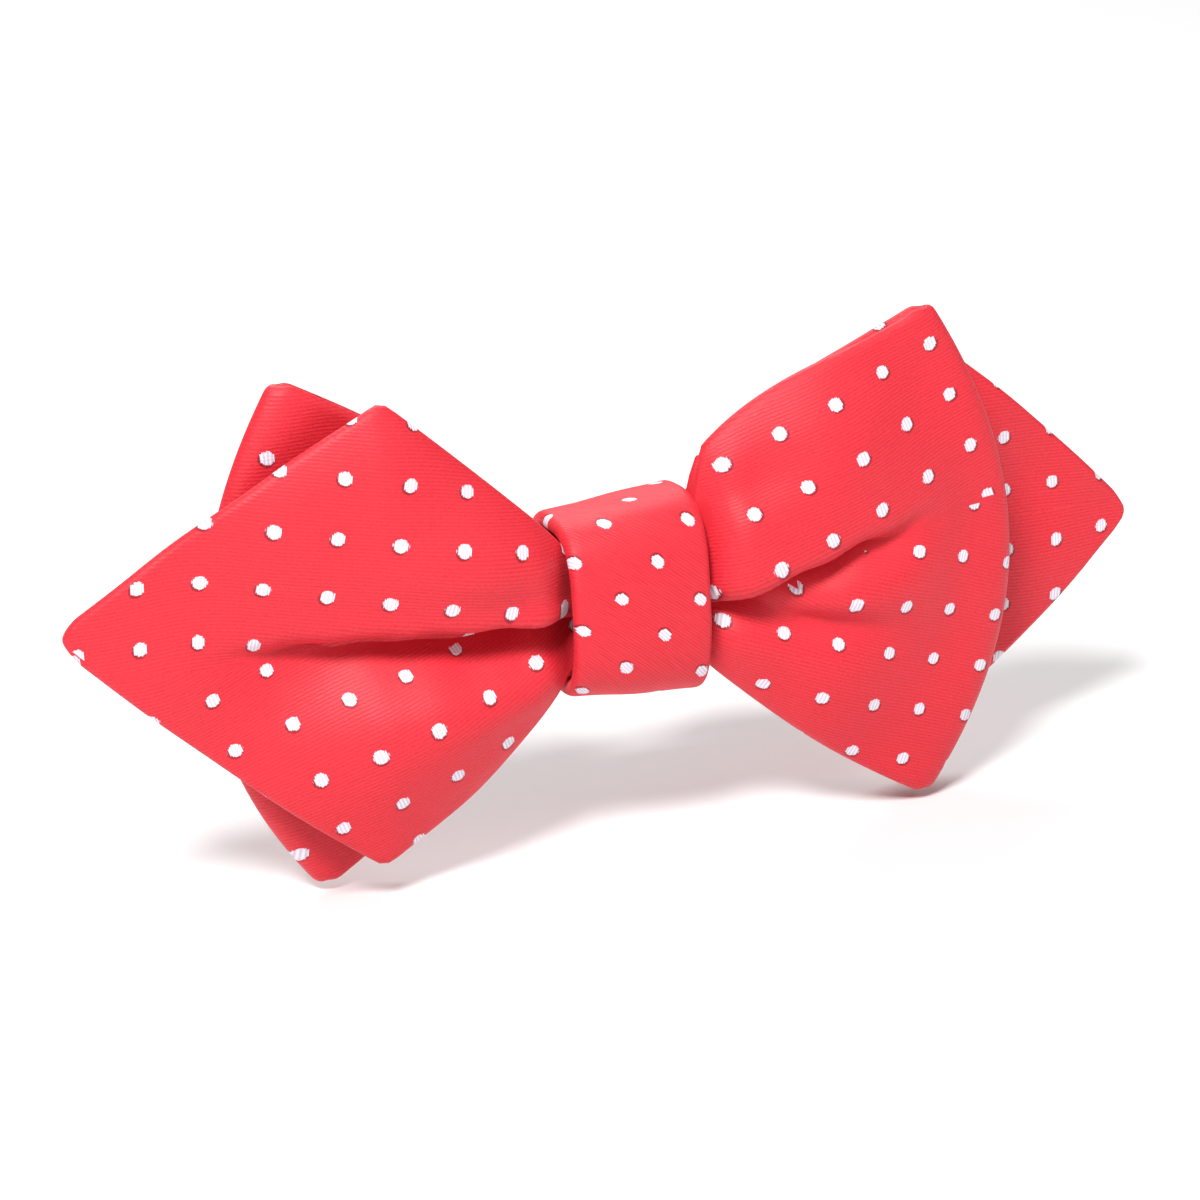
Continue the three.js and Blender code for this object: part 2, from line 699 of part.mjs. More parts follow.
// A bar tack: thread that comes through one hole of the plate and goes back through the other.
function clipStitch(name, side) {
  const top = clipStitchHeight / 2;
  const front = knotDepth / 2 + clipStitchLead;
  const back = plateY + plateThickness + threadRadius + clipStitchLead;
  const points = [
    [front, -top],
    [back - clipStitchBend, -top],
    [back, clipStitchBend - top],
    [back, 0],
    [back, top - clipStitchBend],
    [back - clipStitchBend, top],
    [front, top],
  ].map(([y, z]) => new THREE.Vector3(side * clipStitchX, y, z));
  const curve = new THREE.CatmullRomCurve3(points, false, "centripetal");
  const at = (t) => curve.getPoint(t);
  return piece(name, rod(at, 3 * points.length, threadRadius, threadSides), silkThread);
}

function clipGroup() {
  const clip = new THREE.Group();
  clip.add(clipPlate());
  for (const [side, word] of [
    [-1, "left"],
    [1, "right"],
  ]) {
    clip.add(piece(`${word}_jaw`, jaw(side), steel));
    clip.add(piece(`${word}_hinge_pin`, hingePin(side), steel));
    clip.add(piece(`${word}_spring`, torsionSpring(side), steel));
    clip.add(clipStitch(`clip_stitch_${word}`, side));
  }
  clip.position.set(knotX, 0, 0);
  return clip;
}

// ---- The whole -------------------------------------------------------------------------------------

const bowTie = new THREE.Group();
const pieces = [...stripPieces(), ...knotPieces(), waistBinding(), closingStitches()];
bowTie.add(...pieces, clipGroup());

// The lowest corners stand on the floor, Z = 0.
const box = new THREE.Box3().setFromObject(bowTie, true);
bowTie.children.forEach((child) => {
  child.position.x -= (box.min.x + box.max.x) / 2;
  child.position.y -= (box.min.y + box.max.y) / 2;
  child.position.z -= box.min.z;
});

export default bowTie;
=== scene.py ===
# %% [markdown]
# # A pre-tied bow tie
# A pre-tied bow tie is one long bag of cloth with a pointed end at each tip. It is folded to and
# fro like a letter Z, gathered in the middle, and a short sleeve of the same cloth, the knot, is
# wrapped round the gathers. Behind the knot sits a small sprung clip.
#
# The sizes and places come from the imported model, which is loaded here as a fixed frame. The
# cloth could be sewn flat and simulated, but the way this tie is folded is known exactly, so each
# cloth is a surface worked out from a few sizes, with its pleats pressed in by formula. That
# gives the same tie on every run.

# %% Loading the frame
import math

import bmesh
import bpy
import numpy as np
from mathutils import Matrix, Vector


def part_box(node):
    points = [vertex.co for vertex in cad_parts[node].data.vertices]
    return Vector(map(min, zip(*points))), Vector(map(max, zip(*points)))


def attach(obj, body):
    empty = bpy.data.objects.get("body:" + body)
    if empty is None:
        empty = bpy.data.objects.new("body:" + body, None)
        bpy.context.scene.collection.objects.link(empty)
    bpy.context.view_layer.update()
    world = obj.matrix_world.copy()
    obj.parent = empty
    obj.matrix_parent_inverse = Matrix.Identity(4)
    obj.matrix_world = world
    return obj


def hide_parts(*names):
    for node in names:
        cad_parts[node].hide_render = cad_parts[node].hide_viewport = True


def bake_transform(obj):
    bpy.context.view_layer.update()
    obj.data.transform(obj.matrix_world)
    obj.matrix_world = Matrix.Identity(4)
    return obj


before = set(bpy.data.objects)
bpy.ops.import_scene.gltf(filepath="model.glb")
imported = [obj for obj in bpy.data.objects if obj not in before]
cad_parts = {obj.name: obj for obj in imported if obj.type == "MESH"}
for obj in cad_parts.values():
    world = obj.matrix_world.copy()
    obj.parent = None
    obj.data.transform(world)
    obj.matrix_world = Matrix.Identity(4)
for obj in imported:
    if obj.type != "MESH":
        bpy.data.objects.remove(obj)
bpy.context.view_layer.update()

# %% [markdown]
# ## Where everything is measured from
# A maker measures a bow tie outwards from the middle of its knot, so the shapes below are worked
# out in millimetres from that point. X runs along the bow, Y runs to the back and Z runs up. The
# knot's own box gives its place in X and Y, and the clip's plate, which is centred on the waist,
# gives its height.

# %% The middle of the knot
MM = 0.001
band_low, band_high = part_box("knot_band")
plate_low, plate_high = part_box("clip_plate")
knot_middle = (band_low + band_high) / 2
knot_middle.z = (plate_low.z + plate_high.z) / 2
knot_width = (band_high.x - band_low.x) / MM
knot_depth = (band_high.y - band_low.y) / MM
knot_top = (band_high.z - knot_middle.z) / MM
knot_bottom = (knot_middle.z - band_low.z) / MM
print("the knot is", round(knot_width, 1), "mm wide and", round(knot_depth, 1), "mm deep")


def placed(points):
    """Points in millimetres from the middle of the knot, as metres in the frame."""
    return np.asarray(points, float) * MM + np.array(knot_middle)


# %% [markdown]
# ## The studio
# A plain pale floor runs far enough that its edge stays out of sight, a pale world fills the
# shadows, and three large soft lamps stand round the tie: one above and in front, one on each
# side. Small lamps would draw hard shadows of the folds, which cloth on a white table never has.

# %% Floor, world and lamps
def studio_floor():
    half = 1.5
    corners = [(-half, -half, 0), (half, -half, 0), (half, half, 0), (-half, half, 0)]
    mesh = bpy.data.meshes.new("floor")
    mesh.from_pydata(corners, [], [(0, 1, 2, 3)])
    made = bpy.data.objects.new("floor", mesh)
    bpy.context.scene.collection.objects.link(made)
    return made


def studio_world(brightness):
    world = bpy.data.worlds.new("studio")
    world.use_nodes = True
    background = world.node_tree.nodes["Background"]
    background.inputs["Color"].default_value = (1, 1, 1, 1)
    background.inputs["Strength"].default_value = brightness
    bpy.context.scene.world = world


def soft_lamp(name, place, size, watts):
    data = bpy.data.lights.new(name, "AREA")
    data.shape = "DISK"
    data.size = size
    data.energy = watts
    lamp = bpy.data.objects.new(name, data)
    lamp.location = place
    lamp.rotation_mode = "QUATERNION"
    lamp.rotation_quaternion = (knot_middle - Vector(place)).to_track_quat("-Z", "Y")
    bpy.context.scene.collection.objects.link(lamp)
    return lamp


floor = studio_floor()
studio_world(0.20)
soft_lamp("key_lamp", (-0.30, -0.40, 0.62), 0.24, 7.8)
soft_lamp("right_lamp", (0.55, -0.45, 0.50), 0.35, 1.3)
soft_lamp("back_lamp", (0.1, 0.8, 0.9), 0.8, 9.5)
bpy.context.scene.view_settings.view_transform = "Standard"
print("the floor and", len(bpy.data.lights), "lamps are in place")

# %% [markdown]
# ## The camera
# The tie is seen from a little to its left and from above, through a long lens, so its lines
# hardly converge. The camera is turned a little about its own line of sight, which lets the bow
# rise to the right. Its axes are worked out from three angles, and its place from a distance.

# %% Camera
CAMERA_TURN = math.radians(20.68)
CAMERA_DIP = math.radians(17.97)
CAMERA_ROLL = math.radians(2.76)
CAMERA_DISTANCE = 415.9
CAMERA_SIDE = -2.45
CAMERA_RISE = -0.96
CAMERA_AIM_X = 0.5  # the line of sight passes this far right of the knot, in millimetres
LENS = 117.8


def studio_camera():
    sight = Vector(
        (
            math.sin(CAMERA_TURN) * math.cos(CAMERA_DIP),
            math.cos(CAMERA_TURN) * math.cos(CAMERA_DIP),
            -math.sin(CAMERA_DIP),
        )
    )
    level = Vector((math.cos(CAMERA_TURN), -math.sin(CAMERA_TURN), 0))
    upright = level.cross(sight)
    right = math.cos(CAMERA_ROLL) * level - math.sin(CAMERA_ROLL) * upright
    up = math.sin(CAMERA_ROLL) * level + math.cos(CAMERA_ROLL) * upright
    place = right * CAMERA_SIDE + up * CAMERA_RISE - sight * CAMERA_DISTANCE
    place.x += CAMERA_AIM_X
    data = bpy.data.cameras.new("camera")
    data.lens = LENS
    data.clip_start = 0.01
    data.clip_end = 10
    camera = bpy.data.objects.new("camera", data)
    turn = Matrix((right, up, -sight)).transposed().to_4x4()
    camera.matrix_world = Matrix.Translation(Vector(placed(place))) @ turn
    bpy.context.scene.collection.objects.link(camera)
    bpy.context.scene.camera = camera


studio_camera()
print("the camera stands", CAMERA_DISTANCE, "mm from the knot")

# %% [markdown]
# ## Writing shader maths as sums
# A material is a graph of nodes, and a formula of ten steps is hard to read as ten boxes. The
# small class below wraps one socket, so that a sum such as `1 - mask * 0.5` adds its own Math
# nodes. A colour goes through Mix nodes instead, because a Math node would turn it grey. Every
# other node is made by one method, which takes the node's type, its settings and its inputs.

# %% A socket that can be added and multiplied
class Value:
    """A number that varies over a surface, held by a node's output."""

    def __init__(self, shader, socket):
        self.shader = shader
        self.socket = socket

    def sum(self, operation, first, second=None):
        return self.shader.maths(operation, first, second)

    def __add__(self, other):
        return self.sum("ADD", self, other)

    def __radd__(self, other):
        return self.sum("ADD", other, self)

    def __sub__(self, other):
        return self.sum("SUBTRACT", self, other)

    def __rsub__(self, other):
        return self.sum("SUBTRACT", other, self)

    def __mul__(self, other):
        return self.sum("MULTIPLY", self, other)

    def __rmul__(self, other):
        return self.sum("MULTIPLY", other, self)

    def __truediv__(self, other):
        return self.sum("DIVIDE", self, other)

    def __pow__(self, other):
        return self.sum("POWER", self, other)

    def floor(self):
        return self.sum("FLOOR", self)

    def fraction(self):
        return self.sum("FRACT", self)

    def sine(self):
        return self.sum("SINE", self)


class Shader:
    """One material and the nodes in it."""

    def __init__(self, name):
        self.material = bpy.data.materials.new(name)
        self.material.use_nodes = True
        self.tree = self.material.node_tree
        self.tree.nodes.clear()

    def node(self, kind, settings=(), inputs=()):
        """A node of that type. Its settings go first, then the values and links of its sockets."""
        made = self.tree.nodes.new("ShaderNode" + kind)
        for name, setting in dict(settings).items():
            setattr(made, name, setting)
        for name, value in dict(inputs).items():
            if isinstance(value, Value):
                self.tree.links.new(value.socket, made.inputs[name])
            else:
                made.inputs[name].default_value = value
        return made

    def out(self, made, name=0):
        return Value(self, made.outputs[name])

    def maths(self, operation, first, second=None):
        inputs = {0: first} if second is None else {0: first, 1: second}
        return self.out(self.node("Math", {"operation": operation}, inputs))

    def step(self, value, start, end):
        """0 before start, 1 after end, and smooth between them."""
        settings = {"interpolation_type": "SMOOTHSTEP"}
        inputs = {"Value": value, "From Min": start, "From Max": end}
        return self.out(self.node("MapRange", settings, inputs))

    def noise(self, scale, detail=2.0, place=None):
        inputs = {"Scale": scale, "Detail": detail}
        if place is not None:
            inputs["Vector"] = place
        return self.out(self.node("TexNoise", {}, inputs), "Fac")

    def colours(self, share, first, second):
        """A colour that goes from the first to the second as share goes from 0 to 1."""
        inputs = {"Factor": share, 6: first, 7: second}
        return self.out(self.node("Mix", {"data_type": "RGBA"}, inputs), 2)

    def bump(self, height, depth):
        """A normal from a height in millimetres."""
        inputs = {"Strength": depth, "Distance": MM, "Height": height}
        return self.out(self.node("Bump", {}, inputs))

    def surface(self, inputs):
        shading = self.node("BsdfPrincipled", {}, inputs)
        self.node("OutputMaterial", {}, {"Surface": self.out(shading)})
        return self.material


# %% [markdown]
# ## The floor's finish
# The floor is smooth white board. Real board is never perfectly even, so a faint mottling moves
# its roughness and its whiteness by a hair.

# %% Floor finish
def board_finish():
    shader = Shader("white_board")
    mottle = shader.noise(6.0, 3.0)
    colour = shader.colours(mottle, (0.83, 0.83, 0.83, 1), (0.86, 0.86, 0.86, 1))
    return shader.surface({"Base Color": colour, "Roughness": 0.6 + mottle * 0.1})


floor.data.materials.append(board_finish())
print("the floor is white board")

# %% [markdown]
# ## The strip of cloth
# The bow is one strip. Starting at the point in front on the left it runs through the knot, out
# to the fold in front on the right, back through the knot to the fold behind on the left, and
# once more through the knot to the point behind on the right. A place on it is given by two
# numbers: how far out it lies from the knot, and a share from -1 at the lower seam to 1 at the
# upper one.
#
# The sizes are the frame's own sizes: how far each end reaches, where its corners are, and how
# far the cloth puffs out in front of the knot. The frame's cloth is coarse, so its pleats are
# shallow, and here they are pressed in more deeply and sharply.

# %% Sizes of the strip
HALF_BAG = 0.8  # half the thickness of the bagged cloth
WAIST_HALF = 7.3
PASS_SPACING = 3.0
NECK = knot_width / 2 - 0.3  # from here outwards the strip spreads
FRONT_END = dict(
    reach=59.6, lift=3.8, top=(26.3, 25.4), bottom=(28.9, 24.6), stand=-3.3, tip=1.5, puff=5.4, belly=0.2
)
BACK_END = dict(
    reach=64.9, lift=-2.9, top=(37.0, 23.4), bottom=(35.8, 24.6), stand=4.6, tip=8.0, puff=3.2, belly=1.8
)
FOLD = dict(reach=44.0, top=(35.2, 27.7), bottom=(33.8, 28.0), stand=2.6, half_gap=1.35)
FOLD_PINCH = 0.36  # how much of its gap a fold loses at its top and bottom corners
FRONT_PUFF = 5.2
BACK_PUFF = 3.2
POINT_HALF = 1.2
RAISED = {  # how far a fold's top edge bulges beside the knot, by facing and outer or inner
    (-1, True): 7.0,
    (-1, False): 5.2,
    (1, True): 0.0,
    (1, False): 0.0,
}


# %% Easing between two values
def ease(start, end, x):
    """0 before start, 1 after end, and smooth between them."""
    t = np.clip((x - start) / (end - start), 0, 1)
    return t * t * (3 - 2 * t)


def between(first, second, share):
    return first + (second - first) * share


def rounded_least(first, second, radius):
    """The smaller of two heights, with the corner where they cross rounded off."""
    share = np.clip(0.5 + 0.5 * (second - first) / radius, 0, 1)
    return between(second, first, share) - radius * share * (1 - share)


# %% [markdown]
# ## Pleats
# Gathering a 55 mm strip into a 14 mm waist leaves deep pleats. A pleat is pressed into the cloth
# as a trough that starts inside the knot and dies away outwards. Its upper side is steep and its
# lower side is soft, and it slants upwards as it goes in, so that the cloth above it hangs over
# it like a lip, as real gathers do under their own weight.

# %% Pleats
def pleat(start, end, run, depth, above, below, slant, fade, wave=0.0):
    """Heights at the knot and at the end of the run, and the widths of its two sides."""
    return dict(
        start=start, end=end, run=run, depth=depth, above=above, below=below, slant=slant,
        fade=fade, wave=wave,
    )


FRONT_END_PLEATS = [
    pleat(-2.4, -0.4, 50, 12.0, (1.2, 2.3), (2.4, 7.0), 22, 0.26, wave=0.12),
    pleat(2.0, 3.0, 52, 1.9, (2.5, 6.5), (2.0, 4.5), 0, 0.45),
    pleat(6.4, 17.0, 30, 0.9, (1.6, 4.0), (1.6, 4.0), 0, 0.3),
    pleat(-6.4, -15.0, 28, 1.2, (1.2, 3.4), (1.2, 3.4), 0, 0.3),
]
FRONT_FOLD_PLEATS = [
    pleat(-4.8, 5.2, 34, 5.6, (0.9, 1.8), (1.3, 3.0), 24, 0.46, wave=0.2),
    pleat(0.2, -8.1, 32, 2.8, (1.2, 2.2), (1.4, 3.4), 8, 0.5),
    pleat(6.4, 16.0, 26, 1.3, (1.6, 4.0), (1.6, 4.0), 0, 0.3),
    pleat(-8.0, -22.0, 30, 0.9, (1.4, 3.6), (1.4, 3.6), 0, 0.3),
]
BACK_FOLD_PLEATS = [
    pleat(0.6, 1.8, 42, 4.2, (1.2, 4.5), (1.6, 5.5), 10, 0.4),
    pleat(-4.2, -10.0, 28, 1.2, (1.4, 4.0), (1.4, 4.0), 0, 0.25),
]
BACK_END_PLEATS = [
    pleat(0.9, -1.0, 44, 4.2, (1.2, 4.5), (1.6, 5.5), 10, 0.4),
    pleat(4.4, 10.0, 28, 1.2, (1.4, 4.0), (1.4, 4.0), 0, 0.25),
]


def pleat_shift(distance, z, pleats):
    """How far the pleats press a point back, and how far they lift it."""
    back = np.zeros_like(z)
    up = np.zeros_like(z)
    for p in pleats:
        share = np.clip(distance / p["run"], 0, 1)
        opened = ease(NECK, NECK + 6.0, distance)
        centre = between(p["start"], p["end"], share) + p["wave"] * math.sin(0.9 * distance)
        above = between(p["above"][0], p["above"][1], share)
        below = between(p["below"][0], p["below"][1], share)
        away = (z - centre) / np.where(z > centre, above, below)
        fading = 1 - ease(p["fade"], 1, share)
        sink = p["depth"] * fading * between(0.3, 1.0, opened) * np.exp(-away * away)
        back += sink * math.cos(math.radians(p["slant"]))
        up += sink * math.sin(math.radians(p["slant"]))
    return back, up


# %% [markdown]
# ## Outlines
# Each long edge leaves the knot and spreads to a corner. At a pointed end a short edge then runs
# from the corner to the point. Both corners and the point are slightly round, because a bag that
# is turned right side out never has a needle-sharp corner.

# %% Outlines
def long_edge(distance, corner, height, belly):
    share = max((distance - NECK) / (corner - NECK), 0)
    return between(WAIST_HALF, height, share) + belly * math.sin(math.pi * min(share, 1))


def pointed_heights(distance, end):
    """The heights of the upper and the lower seam of a pointed end."""

    def edge(corner, height, lift, belly):
        share = (distance - corner) / (end["reach"] - corner)
        bulge = math.sin(math.pi * min(max(share, 0), 1))
        short = between(height, POINT_HALF + lift, share) + bulge
        return float(rounded_least(long_edge(distance, corner, height, belly), short, 1.3))

    upper = edge(*end["top"], end["lift"], end["belly"])
    lower = -edge(*end["bottom"], -end["lift"], 1.8)
    closing = max(0, (distance - (end["reach"] - 1.6)) / 1.6)
    round_off = math.sqrt(max(0.0, 1 - closing * closing))
    return (
        between(end["lift"], upper, round_off),
        between(end["lift"], lower, round_off),
    )


def fold_heights(travel, raised):
    """The heights of the upper and the lower seam of a fold, where travel is 1 at the fold."""
    edges = []
    for corner, height in (FOLD["top"], FOLD["bottom"]):
        full = long_edge(travel * corner, corner, height, 1.5)
        edges.append(full - 0.7 * float(ease(0.955, 1.0, travel)))
    distance = travel * FOLD["top"][0]
    bulge = ease(NECK - 1.2, NECK + 1.6, distance) * (1 - ease(8, 35, distance))
    return edges[0] + raised * float(bulge), -edges[1]


# %% [markdown]
# ## The middle surface
# A pointed end leaves the knot, puffs out over its gathers and leans towards its point. A fold
# leaves the knot as two layers, which puff apart and then meet and turn round. A few wide, low
# waves keep the cloth from looking like sheet metal.

# %% The middle surface
def gentle_waves(distance, z, seed):
    """Low, wide unevenness, in millimetres."""
    first = np.sin(0.21 * distance + 0.17 * z + seed)
    second = np.sin(0.34 * distance - 0.23 * z + 2.1 * seed)
    third = np.sin(0.11 * distance + 0.41 * z + 0.7 * seed)
    return (0.34 * first + 0.2 * second + 0.2 * third) * ease(NECK, 20, distance)


def pointed_surface(distance, share, end, pleats, facing, seed):
    upper, lower = pointed_heights(distance, end)
    z = between(lower, upper, (share + 1) / 2)
    waist = facing * PASS_SPACING
    settle = (end["stand"] - waist) * ease(NECK, 24, distance)
    lean = (end["tip"] - end["stand"]) * ease(26, end["reach"] + 6, distance)
    puff = end["puff"] * ease(NECK - 1.2, 12, distance) * (1 - ease(16, 50, distance))
    crown = 1 - np.abs(share) ** 2.4
    back, up = pleat_shift(distance, z, pleats)
    seam = 1 - share**4
    wave = gentle_waves(distance, z, seed)
    y = waist + settle + lean + facing * (puff * crown - back * seam) + wave
    x = np.full_like(z, distance)
    return np.stack([x, y, z + up * seam], axis=-1)


def folded_surface(travel, share, puff_size, pleats, facing, outer, seed):
    upper, lower = fold_heights(travel, RAISED[facing, outer])
    corner = between(FOLD["bottom"][0], FOLD["top"][0], (share + 1) / 2)
    bow = (FOLD["reach"] - corner) * (1 - share * share)
    distance = travel * (corner + bow)
    z = between(lower, upper, (share + 1) / 2)
    swell = ease(NECK - 1.2, 12, distance) * (1 - ease(18, 46, distance))
    crown = 1 - np.abs(share) ** 2.4
    spread = ease(10, 28, distance)
    outer_y = PASS_SPACING + puff_size * swell * crown + 0.8 * spread
    seam_y = outer_y - 1.9 * np.abs(share) ** 3
    inner_y = 0.3 * spread - 0.8 * swell * (1 - share * share)
    inner_y = between(inner_y, seam_y, np.abs(share) ** 3)
    pinched = FOLD["half_gap"] * (1 - FOLD_PINCH * np.abs(share) ** 6)
    half = between((outer_y - inner_y) / 2, pinched, ease(0.72, 0.96, travel))
    middle = between((outer_y + inner_y) / 2, FOLD["stand"], ease(0.55, 1, travel))
    nose = math.sqrt(max(0, 1 - travel**16))
    reach = float(np.mean(distance))
    back, up = pleat_shift(reach, z, pleats)
    follow = (1.0 if outer else 0.25) * (1 - ease(0.8, 0.98, travel)) * (1 - share**4)
    wave = gentle_waves(distance, z, seed) * (1 - travel**8)
    y = middle + (half if outer else -half) * nose - back * follow
    return np.stack([distance, facing * y + wave, z + up * follow], axis=-1)

# %% [markdown]
# ## Rows and columns
# The strip becomes a grid of points. The columns stand a little under a millimetre apart and
# crowd together where the cloth turns a fold. The rows are even across the cloth, and six extra
# rows go round each seam, so that the edge of the bag is round instead of cut.

# %% Rows and columns
ROWS = 100
SEAM_ROWS = 6
SEAM_ROLL = 1.0  # how far in from the seam the cloth starts to turn round the edge


def seam_rows(half_height):
    """Shares from -1 to 1, and how full the bag is at each, from 0 at a seam to 1."""
    roll = min(SEAM_ROLL / half_height, 0.45)
    turn = np.linspace(0, math.pi / 2, SEAM_ROWS + 1)[:-1]
    edge = 1 - roll * (1 - np.cos(turn))
    middle = np.linspace(-(1 - roll), 1 - roll, ROWS)
    shares = np.concatenate([-edge, middle, edge[::-1]])
    fullness = np.concatenate([np.sin(turn), np.ones(ROWS), np.sin(turn)[::-1]])
    return shares, fullness


def spaced(first, last, gap):
    return list(np.linspace(first, last, max(2, round(abs(last - first) / gap))))


def fold_travels(gap):
    straight = spaced(0, 0.86, gap / FOLD["reach"])
    turn = np.linspace(0, math.pi / 2, max(4, round(11 / gap)))[1:]
    return straight + [between(0.86, 1, math.sin(t)) for t in turn]


def end_distances(end, gap):
    tip = end["reach"] - 1.6
    turn = np.linspace(0, math.pi / 2, 7)[1:]
    return spaced(0, tip, gap) + [tip + 1.59 * math.sin(t) for t in turn]


def fold_layer(kind):
    """Which way a fold's layer faces, and whether it is the outer one."""
    return -1 if kind.startswith("front") else 1, kind.endswith("outer")


def column_of(kind, at, side):
    """One column of the grid: its points and how full the bag is at each."""
    if kind == "front_end":
        upper, lower = pointed_heights(at, FRONT_END)
    elif kind == "back_end":
        upper, lower = pointed_heights(at, BACK_END)
    else:
        upper, lower = fold_heights(at, RAISED[fold_layer(kind)])
    share, full = seam_rows(max((upper - lower) / 2, 0.02))
    if kind == "front_end":
        points = pointed_surface(at, share, FRONT_END, FRONT_END_PLEATS, -1, 0.4)
    elif kind == "back_end":
        points = pointed_surface(at, share, BACK_END, BACK_END_PLEATS, 1, 1.9)
    elif kind in ("front_outer", "front_inner"):
        outer = kind == "front_outer"
        points = folded_surface(at, share, FRONT_PUFF, FRONT_FOLD_PLEATS, -1, outer, 3.3)
    else:
        outer = kind == "back_outer"
        points = folded_surface(at, share, BACK_PUFF, BACK_FOLD_PLEATS, 1, outer, 5.1)
    tip_room = (upper - lower) / 2
    full = full * math.sqrt(min(1, max(0.0, tip_room) / POINT_HALF))
    return points * np.array([side, 1, 1]), full, share


def strip_grid(gap):
    """The whole strip as a grid of points, its fullness, and its shares."""
    travels = fold_travels(gap)
    runs = [
        ("front_end", end_distances(FRONT_END, gap)[::-1], -1),
        ("front_outer", travels[1:], 1),
        ("front_inner", travels[-2::-1], 1),
        ("back_inner", travels[1:], -1),
        ("back_outer", travels[-2::-1], -1),
        ("back_end", end_distances(BACK_END, gap)[1:], 1),
    ]
    columns, kinds = [], []
    for kind, places, side in runs:
        for at in places:
            columns.append(column_of(kind, at, side))
            kinds.append(kind)
    points, full, shares = (np.array([column[i] for column in columns]) for i in range(3))
    return points, full, shares, kinds

# %% [markdown]
# ## Where the dots fall
# The dots are woven in on a square lattice before the cloth is cut. At the knot the strip is
# squeezed to a quarter of its width, so the half above the deep pleat and the half below it both
# swing towards the knot, and the lattice swings with them. Towards a point the cloth lies flat
# again and the two halves meet. So each half gets its own turn, and a third, unturned lattice
# takes over at the end. Heights are measured along the cloth, into the pleat and round the seam,
# because that is how the weave sees them.

# %% Places in the weave
def lattice(turn, pitch, first):
    """A square lattice, turned by some degrees, with a dot at u and v."""
    return {"turn": math.radians(turn), "pitch": pitch, "first": first}


WEAVES = {
    "front_end": (
        lattice(12.4, (6.35, 6.15), (14.9, -1.0)),
        lattice(-20, (6.3, 6.15), (25.1, -0.3)),
        lattice(0, (6.4, 6.4), (51.9, 2.2)),
        (38, 56),
    ),
    "front_outer": (
        lattice(20, (6.5, 6.25), (21.3, 3.6)),
        lattice(-18.5, (6.35, 5.8), (17.0, -0.2)),
        lattice(0, (6.3, 6.3), (43.0, 0.3)),
        (42, 60),
    ),
    "back_end": (
        lattice(8, (6.4, 6.2), (3.8, 2.2)),
        lattice(-8, (6.4, 6.2), (3.8, 2.2)),
        lattice(0, (6.4, 6.3), (3.8, 2.2)),
        (30, 56),
    ),
    "hidden_fold": (
        lattice(8, (6.4, 6.2), (-1.4, 1.3)),
        lattice(-8, (6.4, 6.2), (-1.4, 1.3)),
        lattice(0, (6.4, 6.2), (-1.4, 1.3)),
        (14, 36),
    ),
}
CREASES = {
    "front_end": FRONT_END_PLEATS[0],
    "front_outer": FRONT_FOLD_PLEATS[0],
    "front_inner": FRONT_FOLD_PLEATS[0],
    "back_inner": BACK_FOLD_PLEATS[0],
    "back_outer": BACK_FOLD_PLEATS[0],
    "back_end": BACK_END_PLEATS[0],
}


def in_lattice(pattern, distance, height):
    """Which dot of a lattice a place is at, counted in dots along and up."""
    c, s = math.cos(pattern["turn"]), math.sin(pattern["turn"])
    along = (distance * c + height * s - pattern["first"][0]) / pattern["pitch"][0]
    up = (height * c - distance * s - pattern["first"][1]) / pattern["pitch"][1]
    return np.stack([along, up], axis=-1)


def to_meet(pattern, target, distance, height):
    """The whole number of dots that brings a lattice closest to another at one place."""
    gap = in_lattice(target, distance, height) - in_lattice(pattern, distance, height)
    return np.round(gap)


def along_the_cloth(points, split):
    """Heights measured along the cloth, above and below the row where the halves part."""
    steps = np.linalg.norm(np.diff(points[:, 1:], axis=0), axis=-1)
    run = np.concatenate([[0], np.cumsum(steps)])
    heights = np.empty(len(points))
    for first, last in ((0, split), (split, len(points))):
        middle = (first + last) // 2
        heights[first:last] = points[middle, 2] + run[first:last] - run[middle]
    return heights


def round_the_fold(points, kinds):
    """How much cloth the turn round a fold takes, which a plain distance doesn't show."""
    flat = np.abs(np.diff(points[..., 0], axis=0))
    steps = np.linalg.norm(np.diff(points[..., :2], axis=0), axis=-1) - flat
    turning = np.abs(points[..., 0]).mean(axis=1) > 0.86 * FOLD["reach"]
    extra = np.zeros(points.shape[:2])
    for i in range(1, len(kinds)):
        if turning[i] and kinds[i] in ("front_outer", "back_inner"):
            extra[i] = extra[i - 1] + steps[i - 1]
    for i in range(len(kinds) - 2, -1, -1):
        if turning[i] and kinds[i] in ("front_inner", "back_outer"):
            extra[i] = extra[i + 1] + steps[i]
    return extra


def weave_places(points, kinds):
    """The place of every grid point in the weave, counted in dots."""
    extra = round_the_fold(points, kinds)
    places = np.zeros(points.shape[:2] + (2,))
    for i, kind in enumerate(kinds):
        upper, lower, tip, meeting = WEAVES.get(kind, WEAVES["hidden_fold"])
        crease = CREASES[kind]
        distance = np.abs(points[i, :, 0]) + extra[i]
        reach = float(np.mean(np.abs(points[i, :, 0])))
        centre = between(crease["start"], crease["end"], min(reach / crease["run"], 1))
        split = int(np.searchsorted(points[i, :, 2], centre))
        split = min(max(split, 8), points.shape[1] - 8)
        height = along_the_cloth(points[i], split)
        halves = ((lower, slice(0, split), 7), (upper, slice(split, None), 0))
        for pattern, rows, later in halves:
            own = in_lattice(pattern, distance[rows], height[rows])
            own = own + to_meet(pattern, tip, sum(meeting) / 2 + later, crease["end"])
            last = in_lattice(tip, distance[rows], height[rows])
            calm = ease(meeting[0] + later, meeting[1] + later, distance[rows])
            places[i, rows] = between(own, last, calm[:, None])
    return places

